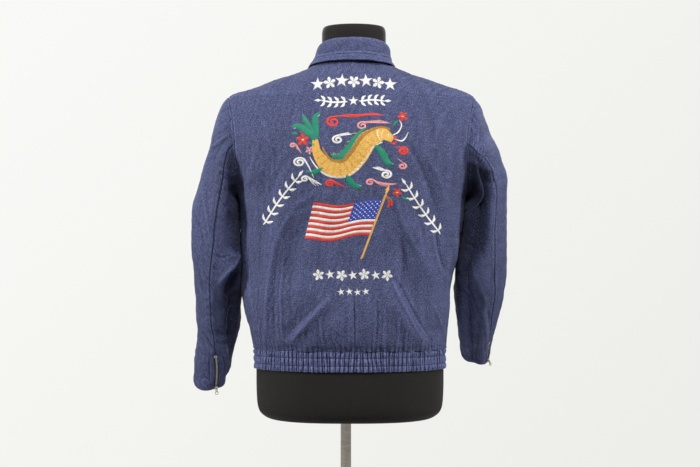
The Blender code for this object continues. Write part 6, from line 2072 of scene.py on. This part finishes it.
# %% [markdown]
# Denim is twill: coloured warp threads float over pale weft threads on a slant. Close up that gives fine
# slanting ribs, further off a mottled blue with pale flecks, and where folds and seam edges rub, the
# white core of the thread comes through. The paleness on the folds' ridges and the darkness in their
# creases are partly that wear and partly painted highlight and painted shade, and the darkest tone of the
# same mark is painted shade alone. The material builds these one on top of the other. They follow the
# stored place along the cloth, so the weave turns with each cut piece.

# %% Denim
INDIGO_DEEP = (0.0175, 0.0228, 0.066)
INDIGO = (0.0455, 0.0545, 0.128)
INDIGO_PALE = (0.122, 0.138, 0.257)
FLECK = (0.34, 0.37, 0.50)


def denim(name, tone_strength=1.0, dark=1.0):
    made, kit = new_material(name)
    place, wear_and_painted_shading = kit.mark("weave", "Vector"), kit.mark("wear_and_painted_shading")
    slubs = kit.stretched_noise(place, (900, 70, 1))
    mottle = kit.stretched_noise(place, (430, 330, 1), 1.0, 3.0, 0.65)
    broad = kit.stretched_noise(place, (34, 26, 1), 1.0, 3.0, 0.6)
    specks = kit.stretched_noise(place, (720, 560, 1), 1.0, 1.0)
    rib = kit.ribs(place, 0.6, 0.00085)
    deep, middle, pale = (
        tuple(value * dark for value in colour) for colour in (INDIGO_DEEP, INDIGO, INDIGO_PALE)
    )
    colour = kit.mixed(kit.ranged(mottle, 0.32, 0.68), deep, pale)
    colour = kit.mixed(0.25, colour, middle)
    # Pale ridges and dark creases from the mark: partly wear, partly painted highlight and painted shade.
    tone = kit.ranged(wear_and_painted_shading, -1, 1, 1 - 0.34 * tone_strength, 1 + 0.50 * tone_strength)
    for value, low, high in ((broad, 0.3, 0.7), (slubs, 0.3, 0.7), (rib, 0, 1)):
        tone = kit.maths("MULTIPLY", tone, kit.ranged(value, low, high, 0.90, 1.10))
    colour = kit.tinted(colour, tone)
    colour = kit.mixed(kit.ranged(specks, 0.64, 0.72, 0.0, 0.85), colour, FLECK)
    # Painted shade: where the mark drops below -1, on the sleeves' sides towards the body and in the cuff
    # rings' holes, the colour is darkened to about a quarter.
    colour = kit.tinted(colour, kit.ranged(wear_and_painted_shading, -3, -1, 0.26, 1.0))
    low = kit.bump(mottle, 0.35, 0.0005)
    kit.surface({
        "Base Color": colour, "Roughness": 0.92, "Specular IOR Level": 0.06, "Sheen Weight": 0.05,
        "Sheen Roughness": 0.45, "Sheen Tint": (0.75, 0.8, 1.0), "Normal": kit.bump(rib, 0.35, 0.00025, low),
    })
    return made


dress((*panel_objects.values(), *sleeve_objects.values(), collar_object), denim("denim"))
# The band's gathers take that tone more strongly: pale on their ridges and dark between them, partly wear
# and partly painted highlight and painted shade.
dress(band_objects, denim("denim_band", 1.8, 1.22))
print("denim on", len(panel_objects) + len(sleeve_objects) + 1 + len(band_objects), "pieces")

# %% [markdown]
# Thread is smooth and slightly glossy along its length. Each stitch has its own tone, and its colour is
# painted darker where the stitch dives into the cloth, a painted shade which separates the stitches for
# the eye. The sewing thread of the seams is matt cotton in the cloth's blue, and the elastic's rows are
# darker.

# %% Embroidery and sewing thread
THREADS = {
    "gold": (0.80, 0.47, 0.10), "ochre": (0.42, 0.20, 0.035), "green": (0.012, 0.235, 0.145),
    "red": (0.74, 0.045, 0.022), "white": (0.84, 0.83, 0.80), "pink": (0.80, 0.34, 0.36),
    "blue": (0.035, 0.075, 0.42), "cream": (0.83, 0.73, 0.42), "pole": (0.70, 0.40, 0.13),
    "knots": (0.86, 0.85, 0.82), "dark": (0.02, 0.018, 0.03), "small": (0.84, 0.83, 0.81),
}
VARIATION = 0.16


def thread(name, colour):
    made, kit = new_material(name)
    lift = kit.ranged(kit.mark("tone"), 0, 1, 1 - VARIATION, 1 + VARIATION * 0.6)
    # Painted shade: each stitch is darkened towards both ends, where it dives into the cloth.
    middle = kit.maths("SUBTRACT", kit.mark("along"), 0.5)
    middle = kit.maths("MULTIPLY", middle, middle)
    lift = kit.maths("MULTIPLY", lift, kit.ranged(middle, 0.12, 0.25, 1.0, 0.72))
    twist = kit.noise(kit.place(), 2600.0, 1.0)
    kit.surface({
        "Base Color": kit.tinted(colour, lift), "Normal": kit.bump(twist, 0.25, 0.0003),
        "Roughness": 0.5, "Specular IOR Level": 0.35, "Sheen Weight": 0.08,
    })
    return made


def sewing_thread(name, colour):
    made, kit = new_material(name)
    tone = kit.ranged(kit.noise(kit.place(), 260.0), 0.3, 0.7, 0.8, 1.2)
    twist = kit.noise(kit.place(), 3000.0, 1.0)
    kit.surface({
        "Base Color": kit.tinted(colour, tone), "Normal": kit.bump(twist, 0.3, 0.0002), "Roughness": 0.8,
    })
    return made


for key, thing in embroidery.items():
    dress([thing], thread("thread_" + key, THREADS[key]))
blue_thread = sewing_thread("blue_thread", (0.10, 0.11, 0.20))
navy_thread = sewing_thread("navy_thread", (0.012, 0.014, 0.03))
for key, thing in stitch_objects.items():
    dress([thing], navy_thread if key == "band" else blue_thread)
print("threads", len(THREADS) + 2)

# %% [markdown]
# The zip is old nickel: dull, and darker in its concave corners. The pole is brushed steel with its marks
# running round it. One function makes both, because both are worn metal and differ only in colour, in
# roughness and in how their marks are stretched. The tapes are woven navy cotton.

# %% Metal and zip tape
def worn_metal(name, bright, dull, rough, scale, stretch=(1, 1, 1)):
    made, kit = new_material(name)
    place = kit.place()
    patches = kit.stretched_noise(place, stretch, scale, 4.0, 0.6)
    scratches = kit.stretched_noise(place, stretch, scale * 6)
    corners = kit.node("NewGeometry").outputs["Pointiness"]
    colour = kit.mixed(kit.ranged(patches, 0.35, 0.65), dull, bright)
    # Concave corners, found by pointiness, are darkened to about a third of the dull colour.
    hollow_colour = tuple(value * 0.35 for value in dull)
    kit.surface({
        "Base Color": kit.mixed(kit.ranged(corners, 0.42, 0.50, 0.7, 0.0), colour, hollow_colour), "Metallic": 1.0,
        "Roughness": kit.ranged(patches, 0.3, 0.7, rough + 0.12, rough - 0.06),
        "Normal": kit.bump(scratches, 0.12, 0.0001),
    })
    return made


def zip_tape(name):
    made, kit = new_material(name)
    rib = kit.ribs(kit.mark("weave", "Vector"), 1.0, 0.0009)
    kit.surface({
        "Base Color": kit.mixed(rib, (0.03, 0.035, 0.07), (0.06, 0.068, 0.125)), "Roughness": 0.85,
        "Normal": kit.bump(rib, 0.5, 0.0002),
    })
    return made


zip_metal = worn_metal("old_nickel", (0.80, 0.76, 0.67), (0.48, 0.44, 0.37), 0.38, 420.0)
steel = worn_metal("brushed_steel", (0.60, 0.56, 0.50), (0.44, 0.40, 0.35), 0.30, 14.0, (2.5, 2.5, 60))
tape_finish = zip_tape("zip_tape")
for thing in zip_pieces:
    dress([thing], zip_metal if thing.name.endswith("teeth") else tape_finish)
print("zip finishes on", len(zip_pieces), "pieces")

# %% [markdown]
# The form's jersey is black with a fine knit, faint clouds and a trace of dust, and the foot is satin
# black paint, rubbed in places. The sliders, pulls, rings, pole and foot are the frame's own solids, so
# their finish is exchanged and nothing else about them.

# %% Jersey, paint and the frame's own solids
def jersey(name):
    made, kit = new_material(name)
    place = kit.place()
    knit = kit.stretched_noise(place, (1, 1, 0.6), 900.0, 1.0)
    cloudy = kit.ranged(kit.noise(place, 9.0, 3.0, 0.6), 0.4, 0.7, 0.0, 0.3)
    dust = kit.ranged(kit.noise(place, 420.0, 1.0), 0.74, 0.8, 0.0, 0.5)
    colour = kit.mixed(kit.ranged(knit, 0.3, 0.7), (0.0095, 0.0087, 0.0083), (0.018, 0.0167, 0.0158))
    colour = kit.mixed(cloudy, colour, (0.020, 0.0185, 0.0175))
    kit.surface({
        "Base Color": kit.mixed(dust, colour, (0.09, 0.085, 0.08)), "Normal": kit.bump(knit, 0.4, 0.0004),
        "Roughness": 0.85, "Specular IOR Level": 0.2, "Sheen Weight": 0.05,
    })
    return made


def paint(name):
    made, kit = new_material(name)
    peel, rub = kit.noise(kit.place(), 700.0), kit.noise(kit.place(), 22.0, 4.0, 0.65)
    worn = kit.ranged(rub, 0.45, 0.75)
    kit.surface({
        "Base Color": kit.mixed(worn, (0.022, 0.022, 0.023), (0.045, 0.044, 0.043)),
        "Roughness": kit.ranged(rub, 0.3, 0.7, 0.38, 0.56), "Normal": kit.bump(peel, 0.15, 0.0003),
    })
    return made


dress((form_object, neck_object), jersey("black_jersey"))
METAL_NODES = ["front_slider", "front_pull"]
METAL_NODES += [f"cuff_{side}_{part}" for side in SIDES for part in ("slider", "pull", "eyelet")]
finishes = {name: zip_metal for name in METAL_NODES} | {"pole": steel, "foot": paint("black_paint")}
for name, finish in finishes.items():
    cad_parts[name].data.materials.clear()
    dress([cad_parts[name]], finish)
print("finishes exchanged on", len(finishes), "of the frame's solids")

# %% [markdown]
# Cloth keeps its area, so each piece's cut area is worked out from the rectangle that it comes out of
# and the share of it that the cut keeps, which is less than one for the shaped panels and sleeves. Only
# the total is printed.

# %% What each piece of cloth was cut to
def declare(thing, width, length, share):
    area = width * length * share
    return area


cut = 0.0
cut += declare(panel_objects["back"], 0.52, 0.58, 0.86)
cut += declare(panel_objects["front_left"], 0.33, 0.57, 0.80)
cut += declare(panel_objects["front_right"], 0.28, 0.57, 0.80)
for side in SIDES:
    cut += declare(sleeve_objects[f"sleeve_{side}_top"], 0.27, 0.60, 0.75)
    cut += declare(sleeve_objects[f"sleeve_{side}_under"], 0.22, 0.56, 0.75)
cut += declare(collar_object, 0.56, 0.10, 0.9)
for band, width in zip(band_objects, (0.44, 0.31, 0.24)):
    cut += declare(band, width, 0.042, 1.0)
print(f"cloth in all {cut:.2f} square metres")

# %% [markdown]
# The studio is bright. A faint pale light comes from all round, strongest from above, and five lamps with
# a narrow spread give the folds their direction: one above, two at the sides and two on the far side.
# Rays that go straight to the camera see a warm white instead, the photograph's background, with a
# painted falloff that makes it darker towards the lower right, and reflections get 0.55 of that backdrop
# mixed in as a painted reflection. The floor is a round sheet, small enough to stay below the
# photograph's view. Colours are shown without a film curve, so that the dyes can be compared directly.

# %% Light and floor
bpy.context.scene.view_settings.view_transform = "Standard"
world = bpy.data.worlds.new("studio")
bpy.context.scene.world = world
world.use_nodes = True
kit = Kit(world.node_tree)
x, y, z = kit.parts(kit.node("TexCoord").outputs["Generated"])
from_side = kit.ranged(y, -1.0, 1.0, 1.0, 0.55)
strength = kit.maths("MULTIPLY", kit.ranged(z, -0.25, 0.85, 0.14, 1.0), from_side)
soft_light = kit.nodes["Background"]
soft_light.inputs["Color"].default_value = (0.96, 0.98, 1.0, 1)
kit.feed(soft_light.inputs["Strength"], kit.maths("MULTIPLY", strength, 0.13))
# Painted falloff: the backdrop is darker towards the lower right.
slope = kit.ranged(kit.maths("SUBTRACT", z, x), -0.3, 0.3)
backdrop_painted_falloff = kit.mixed(slope, (0.85, 0.85, 0.815), (0.945, 0.945, 0.925))
backdrop = kit.node("Background", {"Color": backdrop_painted_falloff})
rays = kit.node("LightPath").outputs
# Painted reflection: glossy rays get 0.55 of the backdrop mixed in, though it lights nothing else.
seen = kit.maths("MULTIPLY", rays["Is Glossy Ray"], 0.55)
seen = kit.maths("MAXIMUM", rays["Is Camera Ray"], seen)
choose = kit.node("MixShader", {0: seen, 1: soft_light.outputs[0], 2: backdrop.outputs[0]})
kit.feed(kit.nodes["World Output"].inputs["Surface"], choose.outputs[0])

# Each lamp: its place, the height that it aims at and its power in watts.
LAMPS = {
    "top_lamp": ((0.15, -1.6, 3.0), 1.1, 11.6), "left_lamp": ((-2.3, -0.7, 2.0), 1.2, 13.0),
    "right_lamp": ((2.3, -0.7, 2.1), 1.2, 11.8), "far_left_lamp": ((-1.3, 2.4, 2.3), 1.2, 13.0),
    "far_right_lamp": ((1.3, 2.4, 2.3), 1.2, 10.0),
}
for name, (place, aim, power) in LAMPS.items():
    data = bpy.data.lights.new(name, "AREA")
    data.shape = "DISK"
    data.size = 0.6
    data.energy = power
    data.spread = math.radians(95)
    data.color = (1.0, 0.985, 0.97)
    lamp = bpy.data.objects.new(name, data)
    lamp.location = place
    lamp.rotation_euler = (Vector((0, 0, aim)) - Vector(place)).to_track_quat("-Z", "Y").to_euler()
    bpy.context.scene.collection.objects.link(lamp)

FLOOR_RADIUS = 4.0
floor_mesh = bpy.data.meshes.new("floor")
angles = np.linspace(0, FULL_TURN, 97)[:-1]
rim = [(FLOOR_RADIUS * math.cos(angle), FLOOR_RADIUS * math.sin(angle), -0.0005) for angle in angles]
floor_mesh.from_pydata(rim, [], [range(96)])
floor = bpy.data.objects.new("floor", floor_mesh)
bpy.context.scene.collection.objects.link(floor)
floor_finish, kit = new_material("pale_floor")
floor_colour = kit.mixed(kit.noise(kit.place(), 5.0, 3.0), (0.76, 0.755, 0.74), (0.80, 0.795, 0.78))
kit.surface({"Base Color": floor_colour, "Roughness": 0.7})
dress([floor], floor_finish)
